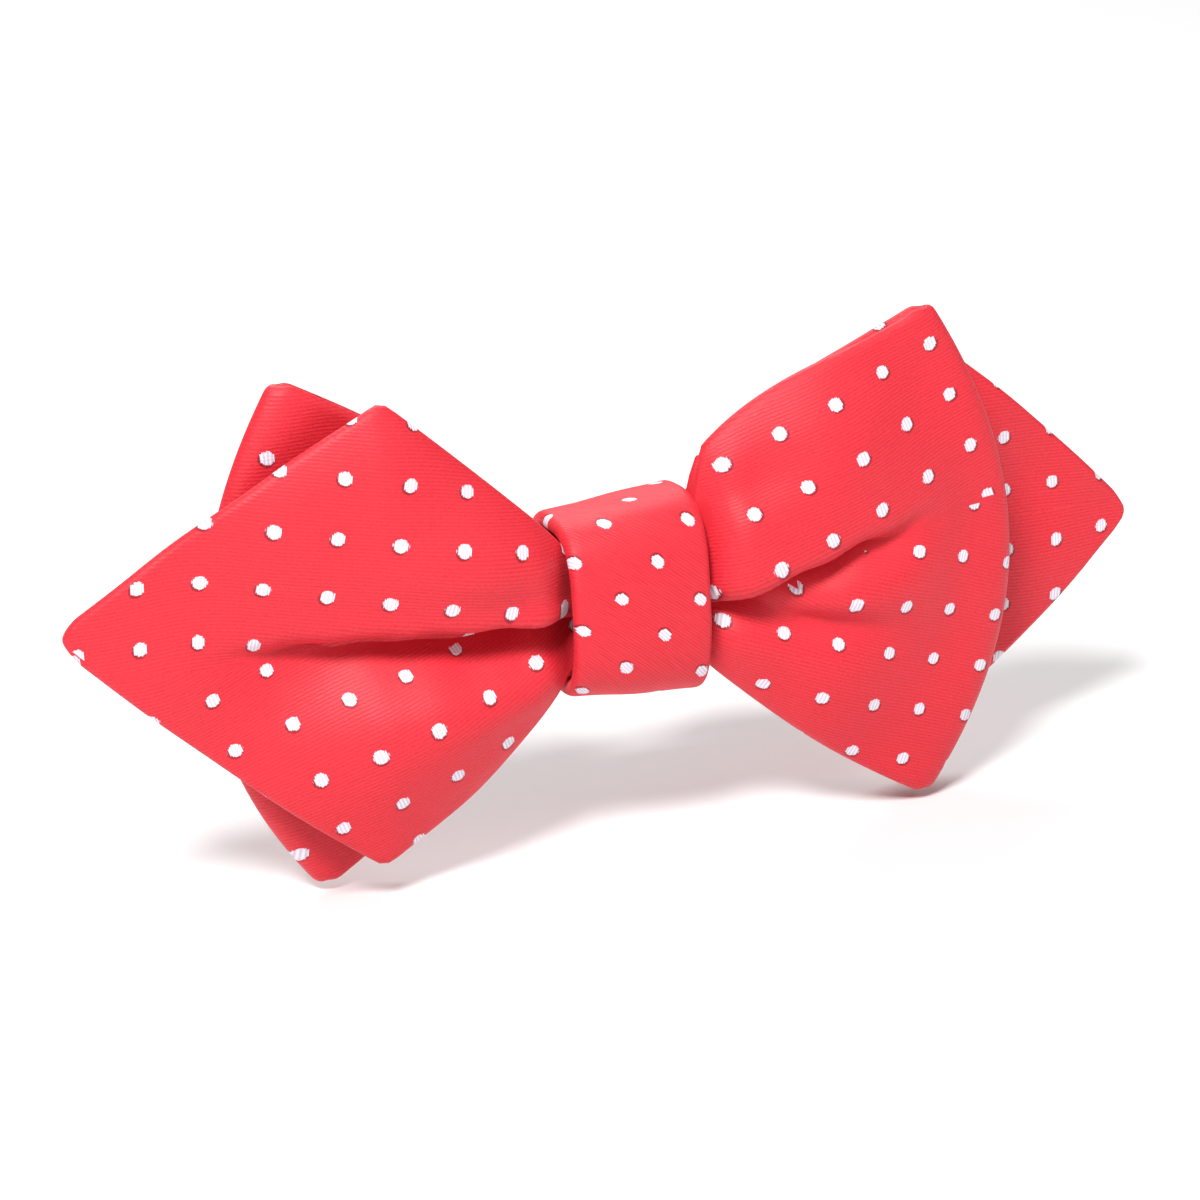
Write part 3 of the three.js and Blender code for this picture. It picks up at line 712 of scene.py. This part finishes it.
# %% [markdown]
# ## Cloth as a mesh
# A cloth is a thin closed shell: an outer skin, an inner skin and an edge that joins them. The
# outer skin stands half a bag off the middle surface, and both skins run out to nothing at the
# seam, where the face cloth and the back cloth are sewn together. The places in the weave are
# stored with the mesh, so that the dots follow the cloth round every fold.

# %% Building shells from grids
WALL = 0.4  # share of the half bag that the cloth itself takes


def facing_out(mesh):
    shape = bmesh.new()
    shape.from_mesh(mesh)
    bmesh.ops.recalc_face_normals(shape, faces=shape.faces)
    shape.to_mesh(mesh)
    shape.free()


def smooth_object(name, vertices, faces, weave=None):
    mesh = bpy.data.meshes.new(name)
    mesh.from_pydata(placed(vertices).tolist(), [], faces)
    facing_out(mesh)
    mesh.polygons.foreach_set("use_smooth", [True] * len(mesh.polygons))
    if weave is not None:
        layer = mesh.uv_layers.new(name="weave")
        corners = np.empty(len(mesh.loops), int)
        mesh.loops.foreach_get("vertex_index", corners)
        places = np.asarray(weave, float)[corners]
        starts = np.empty(len(mesh.polygons), int)
        mesh.polygons.foreach_get("loop_start", starts)
        span = np.maximum.reduceat(places, starts) - np.minimum.reduceat(places, starts)
        torn = np.repeat(span.max(axis=1) > 0.4, np.diff(np.append(starts, len(corners))))
        places[torn] = 0.5
        layer.data.foreach_set("uv", places.ravel())
    made = bpy.data.objects.new(name, mesh)
    bpy.context.scene.collection.objects.link(made)
    return made


def quads(index):
    """The faces of a grid of vertex numbers, with their fronts where rows cross columns."""
    a, b, c, d = index[:-1, :-1], index[1:, :-1], index[1:, 1:], index[:-1, 1:]
    return np.stack([a, b, c, d], axis=-1).reshape(-1, 4)


def clean_faces(faces):
    """Faces without repeated corners."""
    kept = []
    for face in faces.tolist():
        corners = [c for i, c in enumerate(face) if c != face[i - 1]]
        if len(set(corners)) > 2:
            kept.append(corners)
    return kept


def shell(name, outer, inner, weave):
    """A closed shell whose two skins share their first and last rows."""
    columns, rows = outer.shape[:2]
    outside = np.arange(columns * rows).reshape(columns, rows)
    inside = outside + columns * rows
    inside[:, 0] = outside[:, 0]
    inside[:, -1] = outside[:, -1]
    first = np.stack([inside[0], outside[0]])
    last = np.stack([outside[-1], inside[-1]])
    faces = [quads(outside), quads(inside)[:, ::-1], quads(first), quads(last)]
    vertices = np.concatenate([outer.reshape(-1, 3), inner.reshape(-1, 3)])
    both = np.concatenate([weave.reshape(-1, 2)] * 2)
    used = sorted(set(np.concatenate([outside.ravel(), inside.ravel()]).tolist()))
    renumber = {old: new for new, old in enumerate(used)}
    kept = [[renumber[c] for c in face] for face in clean_faces(np.concatenate(faces))]
    return smooth_object(name, vertices[used], kept, both[used])


def normals_of(points):
    """Directions off the cloth, evened out over a few rows so that layers don't cross in a crease."""
    crossing = np.cross(np.gradient(points, axis=0), np.gradient(points, axis=1))
    normal = crossing / (np.linalg.norm(crossing, axis=-1, keepdims=True) + 1e-12)
    padded = np.pad(normal, ((0, 0), (3, 3), (0, 0)), mode="edge")
    evened = sum(padded[:, k : k + normal.shape[1]] for k in range(7))
    return evened / np.linalg.norm(evened, axis=-1, keepdims=True)


# %% [markdown]
# ## The strip's three layers
# The face cloth looks outwards all along the strip, the back cloth lies behind it and the woven
# interlining between them gives the bow its body. All three follow the same middle surface. The
# flat strip is about 230 mm long and 56 mm wide at its widest, and it narrows towards the points.
# Nothing is simulated: the folds are pressed in, and stitches at the knot hold them.

# %% The strip
middle, fullness, shares, kinds = strip_grid(0.9)
outwards = normals_of(middle)
weave = weave_places(middle, kinds)
bag = (HALF_BAG * fullness)[..., None]
face_cloth = shell("face_cloth", middle + outwards * bag, middle + outwards * bag * (1 - WALL), weave)
back_cloth = shell(
    "back_cloth",
    (middle - outwards * bag)[::-1],
    (middle - outwards * bag * (1 - WALL))[::-1],
    weave[::-1],
)


INTERLINING_REACH = 52.0  # the interlining stops short of both points


def strip_interlining():
    columns = np.abs(middle[:, :, 0]).mean(axis=1) < INTERLINING_REACH
    core = middle[columns][::2, 9:-9:2]
    off = outwards[columns][::2, 9:-9:2] * 0.26
    flat = weave[columns][::2, 9:-9:2]
    return shell("strip_interlining", core + off, core - off, flat)


interlining = strip_interlining()
for cloth, node, slot_name in (
    (face_cloth, "bow_face_cloth", "dotted_twill"),
    (back_cloth, "bow_back_cloth", "dotted_twill"),
    (interlining, "bow_interlining", "interlining"),
):
    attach(cloth, "bow")
    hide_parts(node)
    print(cloth.name, "has", len(cloth.data.polygons), "faces")

# %% [markdown]
# ## The knot
# The knot is a short sleeve of the same cloth, cut on the bias so that its dots stand on a
# corner and it stretches smoothly round the gathers. It is a flattened tube, about 2 mm thick,
# that runs round the waist and is closed behind with a zigzag of thread. Its outside swells a
# little between its rounded edges, and it is a touch taller at one side than at the other.

# %% The knot
KNOT_SQUARENESS = 3.0
KNOT_GAP = 3.2
KNOT_THICKNESS = 2.0
KNOT_SWELL = 0.45
KNOT_WEDGE = 0.075  # how much taller the knot is at its right edge than in its middle
KNOT_STEPS = 180
EDGE_STEPS = 14
KNOT_DOT = (-2.67, 27.8)  # one dot's place across the sleeve and along it
KNOT_ALONG = (0.137, 0.139)  # dots per millimetre, across and along, in each of two directions
KNOT_UP = (0.091, -0.129)


def power_of(value, power):
    return np.sign(value) * np.abs(value) ** power


def knot_loop(inset, steps):
    """The path of the sleeve round the waist, evenly spaced, seen from the right."""
    gap_share = (KNOT_GAP / (knot_top + knot_bottom)) ** (KNOT_SQUARENESS / 2)
    start = math.pi + math.asin(gap_share)
    angle = np.linspace(start, 4 * math.pi - start, 4000)
    y = -power_of(np.cos(angle), 2 / KNOT_SQUARENESS) * (knot_depth / 2 - inset)
    s = power_of(np.sin(angle), 2 / KNOT_SQUARENESS)
    z = s * (np.where(s > 0, knot_top, knot_bottom) - inset)
    run = np.concatenate([[0], np.cumsum(np.hypot(np.diff(y), np.diff(z)))])
    even = np.linspace(0, run[-1], steps)
    return np.interp(even, run, y), np.interp(even, run, z), even


def sleeve_section(half_width, half_thickness, swell):
    """The sleeve's outline across the band: places across and off the middle, all the way round."""
    turn = np.linspace(0, math.pi, EDGE_STEPS + 1)
    flat = np.linspace(-1, 1, 46)[1:-1] * (half_width - half_thickness)
    across = [flat, (half_width - half_thickness) + half_thickness * np.sin(turn)]
    off = [half_thickness + swell * (1 - (flat / half_width) ** 2) ** 1.5]
    off.append(half_thickness * np.cos(turn))
    across += [flat[::-1], -(half_width - half_thickness) - half_thickness * np.sin(turn)]
    off += [-np.full_like(flat, half_thickness), -half_thickness * np.cos(turn)]
    return np.concatenate(across), np.concatenate(off)


def sleeve(half_width, half_thickness, swell, inset, steps):
    """A grid that goes along the sleeve and then round its section."""
    y, z, run = knot_loop(inset, steps)
    out_y, out_z = -np.gradient(z), np.gradient(y)
    size = np.hypot(out_y, out_z)
    out_y, out_z = out_y / size, out_z / size
    across, off = sleeve_section(half_width, half_thickness, swell)
    front = (1 - ease(-6.5, -1.0, y))[:, None]
    lift = np.where(off > half_thickness, half_thickness + (off - half_thickness) * front, off)
    ripple = 0.05 * np.sin(0.9 * run[:, None] + 0.7 * across) * (off > 0)
    depth = lift + ripple
    points = np.empty((steps, len(across), 3))
    points[..., 0] = across
    points[..., 1] = y[:, None] + out_y[:, None] * depth
    points[..., 2] = z[:, None] + out_z[:, None] * depth
    points[..., 2] *= 1 + KNOT_WEDGE * across / (knot_width / 2)
    flat = np.stack([np.broadcast_to(across, depth.shape), np.broadcast_to(run[:, None], depth.shape)], -1)
    return points, flat


def ring_quads(index):
    closed = np.concatenate([index, index[:, :1]], axis=1)
    return quads(closed)


def knot_weave(flat):
    """The bias-cut cloth's places in the weave, turned by 45 degrees and pulled a little taut."""
    across, run = flat[..., 0] - KNOT_DOT[0], flat[..., 1] - KNOT_DOT[1]
    along = KNOT_ALONG[0] * across + KNOT_ALONG[1] * run
    up = KNOT_UP[0] * across + KNOT_UP[1] * run
    return np.stack([along, up], axis=-1)


def knot_sleeve():
    half = KNOT_THICKNESS / 2
    wall = 0.4
    outer, flat = sleeve(knot_width / 2, half, KNOT_SWELL, half, KNOT_STEPS)
    inner, _ = sleeve(knot_width / 2 - wall, half - wall, KNOT_SWELL, half, KNOT_STEPS)
    rows = outer.shape[1]
    outside = np.arange(KNOT_STEPS * rows).reshape(KNOT_STEPS, rows)
    inside = outside + outside.size
    ends = [
        ring_quads(np.stack([inside[0], outside[0]])),
        ring_quads(np.stack([outside[-1], inside[-1]])),
    ]
    faces = [ring_quads(outside), ring_quads(inside)[:, ::-1]] + ends
    vertices = np.concatenate([outer.reshape(-1, 3), inner.reshape(-1, 3)])
    places = np.concatenate([knot_weave(flat).reshape(-1, 2)] * 2)
    return smooth_object("knot", vertices, np.concatenate(faces).tolist(), places)


def knot_lining():
    points, _ = sleeve(knot_width / 2 - 0.8, 0.28, 0, KNOT_THICKNESS / 2, 90)
    points = points[2:-2]
    index = np.arange(points.shape[0] * points.shape[1]).reshape(points.shape[:2])
    faces = ring_quads(index).tolist() + [index[0][::-1].tolist(), index[-1].tolist()]
    return smooth_object("knot_interlining_cloth", points.reshape(-1, 3), faces)


knot = knot_sleeve()
knot_core = knot_lining()
for cloth, node, slot_name in (
    (knot, "knot_band", "dotted_twill"),
    (knot_core, "knot_interlining", "interlining"),
):
    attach(cloth, "bow")
    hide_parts(node)
    print(cloth.name, "has", len(cloth.data.polygons), "faces")

# %% [markdown]
# ## Thread and wire
# Sewing thread is two strands twisted round each other, so a piece of it is two small tubes that
# wind about one path. The springs are one round wire each. Both come from the same sweep: a
# circle carried along a path without twisting.

# %% Sweeping a round section along a path
def resampled(path, gap):
    path = np.asarray(path, float)
    run = np.concatenate([[0], np.cumsum(np.linalg.norm(np.diff(path, axis=0), axis=1))])
    even = np.linspace(0, run[-1], max(4, round(run[-1] / gap)))
    return np.stack([np.interp(even, run, path[:, i]) for i in range(3)], axis=1), even


def softened(path, times):
    """The path with its corners rounded off, by cutting them again and again."""
    path = np.asarray(path, float)
    for _ in range(times):
        cut = np.stack([path[:-1] * 0.75 + path[1:] * 0.25, path[:-1] * 0.25 + path[1:] * 0.75], 1)
        path = np.concatenate([path[:1], cut.reshape(-1, 3), path[-1:]])
    return path


def frames_along(path):
    """Two directions across the path at every point, carried along without twisting."""
    tangent = np.gradient(path, axis=0)
    tangent /= np.linalg.norm(tangent, axis=1, keepdims=True)
    side = np.cross(tangent[0], [0.3, 0.5, 0.81])
    sides = []
    for t in tangent:
        side = side - t * np.dot(side, t)
        side = side / np.linalg.norm(side)
        sides.append(side)
    sides = np.array(sides)
    return sides, np.cross(tangent, sides)


def tube(path, radius, around):
    """Vertices and faces of a closed tube along a path, with domed ends."""
    sides, ups = frames_along(path)
    turn = np.linspace(0, 2 * math.pi, around, endpoint=False)
    rings = []
    for i, centre in enumerate(path):
        ring = np.cos(turn)[:, None] * sides[i] + np.sin(turn)[:, None] * ups[i]
        rings.append(centre + radius * ring)
    vertices = np.concatenate(rings + [path[:1], path[-1:]])
    index = np.arange(len(path) * around).reshape(len(path), around)
    faces = ring_quads(index)[:, ::-1].tolist()
    start, end = len(vertices) - 2, len(vertices) - 1
    for k in range(around):
        following = (k + 1) % around
        faces.append([start, int(index[0, k]), int(index[0, following])])
        faces.append([end, int(index[-1, following]), int(index[-1, k])])
    return vertices, faces


def merged(parts):
    vertices, faces, count = [], [], 0
    for points, corners in parts:
        vertices.append(points)
        faces += [[c + count for c in face] for face in corners]
        count += len(points)
    return np.concatenate(vertices), faces


def twisted_thread(path, radius, lay):
    """Two strands that wind about a path once in every lay of its length."""
    path, run = resampled(path, 0.12)
    sides, ups = frames_along(path)
    angle = 2 * math.pi * run / lay
    strands = []
    for phase in (0, math.pi):
        c, s = np.cos(angle + phase)[:, None], np.sin(angle + phase)[:, None]
        strands.append(tube(path + (c * sides + s * ups) * radius * 0.46, radius * 0.54, 8))
    return merged(strands)


# %% [markdown]
# ## The threads
# Three turns of thread bind the gathered waist under the knot, a zigzag closes the sleeve behind
# it, and a bar tack at each side of the plate's middle holds the clip to the sleeve.

# %% The threads
THREAD_RADIUS = 0.22


def box_in_mm(node):
    low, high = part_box(node)
    return (np.array(low) - np.array(knot_middle)) / MM, (np.array(high) - np.array(knot_middle)) / MM


def add_piece(name, made, node, body):
    piece = smooth_object(name, *made)
    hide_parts(node)
    if body is not None:
        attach(piece, body)
    return piece


def binding_path():
    low, high = box_in_mm("waist_binding_thread")
    inset = knot_depth / 2 - abs(low[1]) + THREAD_RADIUS
    turn = np.linspace(0, 3 * 2 * math.pi, 400)
    y = -power_of(np.cos(turn), 2 / KNOT_SQUARENESS) * (knot_depth / 2 - inset)
    s = power_of(np.sin(turn), 2 / KNOT_SQUARENESS)
    z = s * (np.where(s > 0, knot_top, knot_bottom) - inset)
    start, end = low[0] + THREAD_RADIUS, high[0] - THREAD_RADIUS
    return np.stack([np.linspace(start, end, len(turn)), y, z], axis=1)


def closing_path():
    low, high = box_in_mm("knot_closing_stitches")
    y = (low[1] + high[1]) / 2
    corners = 7
    x = np.linspace(low[0] + THREAD_RADIUS, high[0] - THREAD_RADIUS, corners)
    middle_z = (low[2] + high[2]) / 2
    reach = (high[2] - low[2]) / 2 - THREAD_RADIUS
    z = middle_z + reach * np.where(np.arange(corners) % 2 == 0, 1, -1)
    return softened(np.stack([x, np.full(corners, y), z], axis=1), 3)


def tack_path(node):
    low, high = box_in_mm(node)
    x = (low[0] + high[0]) / 2
    front, back = low[1], high[1] - THREAD_RADIUS
    top, bottom = high[2] - THREAD_RADIUS, low[2] + THREAD_RADIUS
    corners = [(x, front, bottom), (x, back, bottom), (x, back, top), (x, front, top)]
    return softened(corners, 4)


threads = [
    ("waist_binding", binding_path(), "waist_binding_thread"),
    ("closing_stitches", closing_path(), "knot_closing_stitches"),
    ("left_bar_tack", tack_path("clip_stitch_left"), "clip_stitch_left"),
    ("right_bar_tack", tack_path("clip_stitch_right"), "clip_stitch_right"),
]
thread_pieces = []
for name, path, node in threads:
    made = twisted_thread(path, THREAD_RADIUS, 1.1)
    thread_pieces.append(add_piece(name, made, node, "bow"))
print("there are", len(thread_pieces), "pieces of thread")

# %% [markdown]
# ## The springs
# Each spring is a torsion spring of four and a half turns round its pin. One straight leg lies
# along the plate and the other along the inside of the thumb tab, so pressing the tab winds the
# coil. The left spring is the right one turned half round, which is why their legs swap heights.

# %% The springs
SPRING_WIRE = 0.45
SPRING_TURNS = 4.5


def spring_path(side):
    pin_low, pin_high = box_in_mm(f"{side}_hinge_pin")
    low, high = box_in_mm(f"{side}_spring")
    axis_x, axis_y = (pin_low[0] + pin_high[0]) / 2, (pin_low[1] + pin_high[1]) / 2
    facing = 1 if side == "right" else -1
    radius = 0.7 + 0.25 + SPRING_WIRE / 2
    wire = SPRING_WIRE / 2
    half = (high[2] - low[2]) / 2 - wire
    middle_z = (low[2] + high[2]) / 2
    inner = low[0] if facing > 0 else high[0]
    plate_leg_y, tab_leg_y = low[1] + wire + 0.02, high[1] - wire - 0.02
    turn = np.linspace(0, 2 * math.pi * SPRING_TURNS, 300)
    angle = turn - math.pi / 2
    coil = np.stack([radius * np.cos(angle), radius * np.sin(angle), np.linspace(-half, half, 300)], 1)
    leg = abs(inner - axis_x) - wire
    start = [(-leg, plate_leg_y - axis_y, -half), (-2.0, plate_leg_y - axis_y, -half)]
    end = [(-2.0, tab_leg_y - axis_y, half), (-leg, tab_leg_y - axis_y, half)]
    path = softened(np.concatenate([start, coil, end]), 2)
    path = path * np.array([facing, 1, facing])
    return path + np.array([axis_x, axis_y, middle_z]), facing * half, (axis_x, axis_y, middle_z)


springs = []
for side in ("left", "right"):
    path, reach, centre = spring_path(side)
    path, _ = resampled(path, 0.16)
    wire = tube(path, SPRING_WIRE / 2, 12)
    spring = add_piece(f"{side}_coil", wire, f"{side}_spring", None)
    plate_end = np.array(centre) + np.array([0, 0, -reach])
    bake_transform(spring)
    springs.append(spring)
print("the springs have", len(springs[0].data.polygons), "faces each")

# %% [markdown]
# ## The pins
# Each hinge pin is a steel rivet. Its shank fills the ears of the plate and the cheeks of the
# jaw, and each end is spread into a low dome, so the profile is one line turned about the axis.

# %% The pins
def rivet(side):
    low, high = box_in_mm(f"{side}_hinge_pin")
    centre = (low + high) / 2
    half = (high[2] - low[2]) / 2
    head = (high[0] - low[0]) / 2
    dome = [(head * math.cos(a), half - 0.28 + 0.28 * math.sin(a)) for a in np.linspace(1.5, 0.0, 8)]
    upper = [(0.0, half)] + dome + [(head, half - 0.38), (head - 0.03, half - 0.4), (0.69, half - 0.4)]
    profile = upper + [(r, -z) for r, z in upper[::-1]]
    around = 40
    turn = np.linspace(0, 2 * math.pi, around, endpoint=False)
    rings = [np.stack([r * np.cos(turn), r * np.sin(turn), np.full(around, z)], 1) for r, z in profile[1:-1]]
    vertices = np.concatenate(rings + [[(0, 0, half)], [(0, 0, -half)]]) + centre
    index = np.arange(len(rings) * around).reshape(len(rings), around)
    faces = ring_quads(index).tolist()
    top, bottom = len(vertices) - 2, len(vertices) - 1
    for k in range(around):
        following = (k + 1) % around
        faces.append([top, int(index[0, k]), int(index[0, following])])
        faces.append([bottom, int(index[-1, following]), int(index[-1, k])])
    return vertices, [face[::-1] for face in faces]


pins = []
for side in ("left", "right"):
    pin = add_piece(f"{side}_rivet", rivet(side), f"{side}_hinge_pin", "bow")
    pins.append(pin)
print("the rivets have", len(pins[0].data.polygons), "faces each")

# %% [markdown]
# ## The dotted twill
# This is a satin-faced silk twill. Fine diagonal ribs cross the cloth, 0.38 mm apart, and the
# dots are woven in with a second, lilac-white weft that floats over the red for 1.6 mm. A float
# ends only where a warp thread holds it down, so a dot's edge is stepped in threads instead of
# being a true circle, and the float stands a little proud. A dark line on one side of each dot
# is painted shadow of that raised float.

# %% Dotted twill
PITCH = 6.25  # of the dots, in millimetres
DOT_RADIUS = 0.73
THREAD = 0.19
RIB = 0.38


def twill(name, rib_along, rib_up):
    shader = Shader(name)
    place = shader.out(shader.node("UVMap", {"uv_map": "weave"}))
    parts = shader.node("SeparateXYZ", {}, {"Vector": place})
    u, v = shader.out(parts, "X"), shader.out(parts, "Y")
    across = ((u + 0.5).fraction() - 0.5) * PITCH
    along = ((v + 0.5).fraction() - 0.5) * PITCH
    flat_u, flat_v = u * PITCH, v * PITCH
    warp = (across / THREAD + 0.5).floor() * THREAD
    flat = shader.node("CombineXYZ", {}, {"X": (flat_u / THREAD + 0.5).floor(), "Y": flat_v * 0.4})
    fray = shader.noise(1.7, 1.0, shader.out(flat)) - 0.5
    reach = (warp * warp + along * along) ** 0.5 + fray * 0.34
    dot = 1 - shader.step(reach, DOT_RADIUS - 0.05, DOT_RADIUS + 0.03)
    # Painted shadow: a thin ring just off one side of each dot, where the raised float would cast shade on
    # the red.
    shadow_x, shadow_y = across - 0.10, along + 0.15
    shadow_reach = (shadow_x * shadow_x + shadow_y * shadow_y) ** 0.5
    painted_dot_shadow = (1 - shader.step(shadow_reach, DOT_RADIUS, DOT_RADIUS + 0.16)) * (1 - dot)
    rib_place = (flat_u * rib_along + flat_v * rib_up) / RIB
    fine = shader.out(
        shader.node("CombineXYZ", {}, {"X": flat_u * 3.2, "Y": rib_place * 1.6})
    )
    slub = shader.noise(1.0, 3.0, fine)
    rib = (rib_place * (2 * math.pi) + slub * 3.0).sine() * 0.5 + 0.5
    broad = shader.noise(0.35, 2.0, shader.out(shader.node("CombineXYZ", {}, {"X": flat_u, "Y": flat_v})))
    shade = rib * 0.3 + slub * 0.7
    red = shader.colours(shade, (0.44, 0.006, 0.014, 1), (0.84, 0.034, 0.056, 1))
    red = shader.colours(broad * 0.25, red, (0.64, 0.011, 0.024, 1))
    # The dot's painted shadow mixes the red towards a very dark red.
    red = shader.colours(painted_dot_shadow * 0.8, red, (0.22, 0.003, 0.009, 1))
    float_rib = ((across / (2 * THREAD)) * (2 * math.pi)).sine() * 0.5 + 0.5
    white = shader.colours(float_rib, (0.60, 0.53, 0.63, 1), (0.82, 0.78, 0.86, 1))
    colour = shader.colours(dot, red, white)
    height = rib * 0.03 + slub * 0.10 + dot * 0.12 + dot * float_rib * 0.05
    rough = 0.45 + slub * 0.16 + dot * 0.15
    return shader.surface(
        {
            "Base Color": colour,
            "Roughness": rough,
            "Specular IOR Level": 0.36,
            "Sheen Weight": 0.12,
            "Sheen Roughness": 0.4,
            "Sheen Tint": (1.0, 0.35, 0.40, 1),
            "Normal": shader.bump(height, 0.55),
        }
    )


bow_twill = twill("bow_twill", 0.06, 1.0)
knot_twill = twill("knot_twill", 1.0, -0.18)
for cloth in (face_cloth, back_cloth):
    cloth.data.materials.append(bow_twill)
knot.data.materials.append(knot_twill)
print("the dots are", 2 * DOT_RADIUS, "mm across and", PITCH, "mm apart")

# %% [markdown]
# ## The interlining
# Interlining is a brushed wool and cotton cloth in its natural cream colour. It is soft and
# matt, with a loose plain weave that shows through its nap.

# %% Interlining
def nap():
    shader = Shader("brushed_interlining")
    place = shader.out(shader.node("TexCoord"), "Object")
    parts = shader.node("SeparateXYZ", {}, {"Vector": place})
    x, z = shader.out(parts, "X") / MM, shader.out(parts, "Z") / MM
    weave_mask = (x * 9.0).sine() * (z * 9.0).sine() * 0.5 + 0.5
    fluff = shader.noise(900.0, 4.0, place)
    shade = weave_mask * 0.5 + fluff * 0.5
    colour = shader.colours(shade, (0.60, 0.55, 0.44, 1), (0.82, 0.78, 0.68, 1))
    return shader.surface(
        {
            "Base Color": colour,
            "Roughness": 0.85 + fluff * 0.1,
            "Sheen Weight": 0.4,
            "Normal": shader.bump(shade * 0.12, 0.6),
        }
    )


wool = nap()
for cloth in (interlining, knot_core):
    cloth.data.materials.append(wool)
print("the interlining is", wool.name)

# %% [markdown]
# ## Thread, steel and wire
# The thread is dyed to match the cloth. The clip is pressed from nickel-plated steel: the plating
# is bright but never even, with a faint grain along the strip it was rolled from and a few dull
# patches from handling. The springs are drawn wire, which has fine lines along its length.

# %% Thread and metals
def dyed_thread():
    shader = Shader("red_sewing_thread")
    place = shader.out(shader.node("TexCoord"), "Object")
    fibre = shader.noise(2600.0, 3.0, place)
    colour = shader.colours(fibre, (0.42, 0.008, 0.018, 1), (0.72, 0.030, 0.050, 1))
    inputs = {"Base Color": colour, "Roughness": 0.55 + fibre * 0.2, "Sheen Weight": 0.3}
    return shader.surface({**inputs, "Normal": shader.bump(fibre * 0.05, 0.5)})


def plated_steel(name, tint, grain, roughness):
    shader = Shader(name)
    place = shader.out(shader.node("TexCoord"), "Object")
    stretched = shader.node(
        "Mapping", {"vector_type": "POINT"}, {"Vector": place, "Scale": grain}
    )
    lines = shader.noise(1.0, 4.0, shader.out(stretched))
    patches = shader.noise(140.0, 2.0, place)
    dull = tuple(0.82 * c for c in tint[:3]) + (1,)
    colour = shader.colours(patches, tint, dull)
    return shader.surface(
        {
            "Base Color": colour,
            "Metallic": 1.0,
            "Roughness": roughness + lines * 0.12 + patches * 0.08,
            "Normal": shader.bump(lines * 0.02, 0.4),
        }
    )


thread_finish = dyed_thread()
for piece in thread_pieces:
    piece.data.materials.append(thread_finish)
nickel = plated_steel("nickel_plated_steel", (0.78, 0.76, 0.73, 1), (300, 9000, 9000), 0.18)
wire_steel = plated_steel("spring_wire", (0.60, 0.60, 0.62, 1), (4000, 4000, 500), 0.24)
for pin in pins:
    pin.data.materials.append(nickel)
for spring in springs:
    spring.data.materials.append(wire_steel)
print("the clip is finished in", nickel.name, "and", wire_steel.name)

# %% [markdown]
# ## The plate and the jaws
# These two shapes are flat pressings whose outlines already carry every hole, ear and tooth. A
# press leaves a soft edge where the punch enters, so each gets a bevel of a tenth of a
# millimetre, and its flat faces stay flat.

# %% Pressed edges
def pressed_finish(node):
    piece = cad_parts[node]
    piece.data.materials.clear()
    piece.data.materials.append(nickel)
    edge = piece.modifiers.new("pressed_edge", "BEVEL")
    edge.width = 0.1 * MM
    edge.segments = 2
    edge.limit_method = "ANGLE"
    edge.angle_limit = math.radians(35)
    edge.harden_normals = True


for node in ("clip_plate", "left_jaw", "right_jaw"):
    pressed_finish(node)
print("the plate and the jaws have bevelled edges")

# %% [markdown]
# ## What the cloths rest on
# Nothing hangs freely: the folds and the knot hold each layer. The lengths of the strip and its
# interlining don't agree with the model. Along its middle the modelled strip runs 317 mm, and it is
# 58.5 mm at the widest. Its interlining runs 295 mm and is 52 mm at the widest. Cut them to those.

# %% Cloths and their cuts
print("five cloths make up the tie")
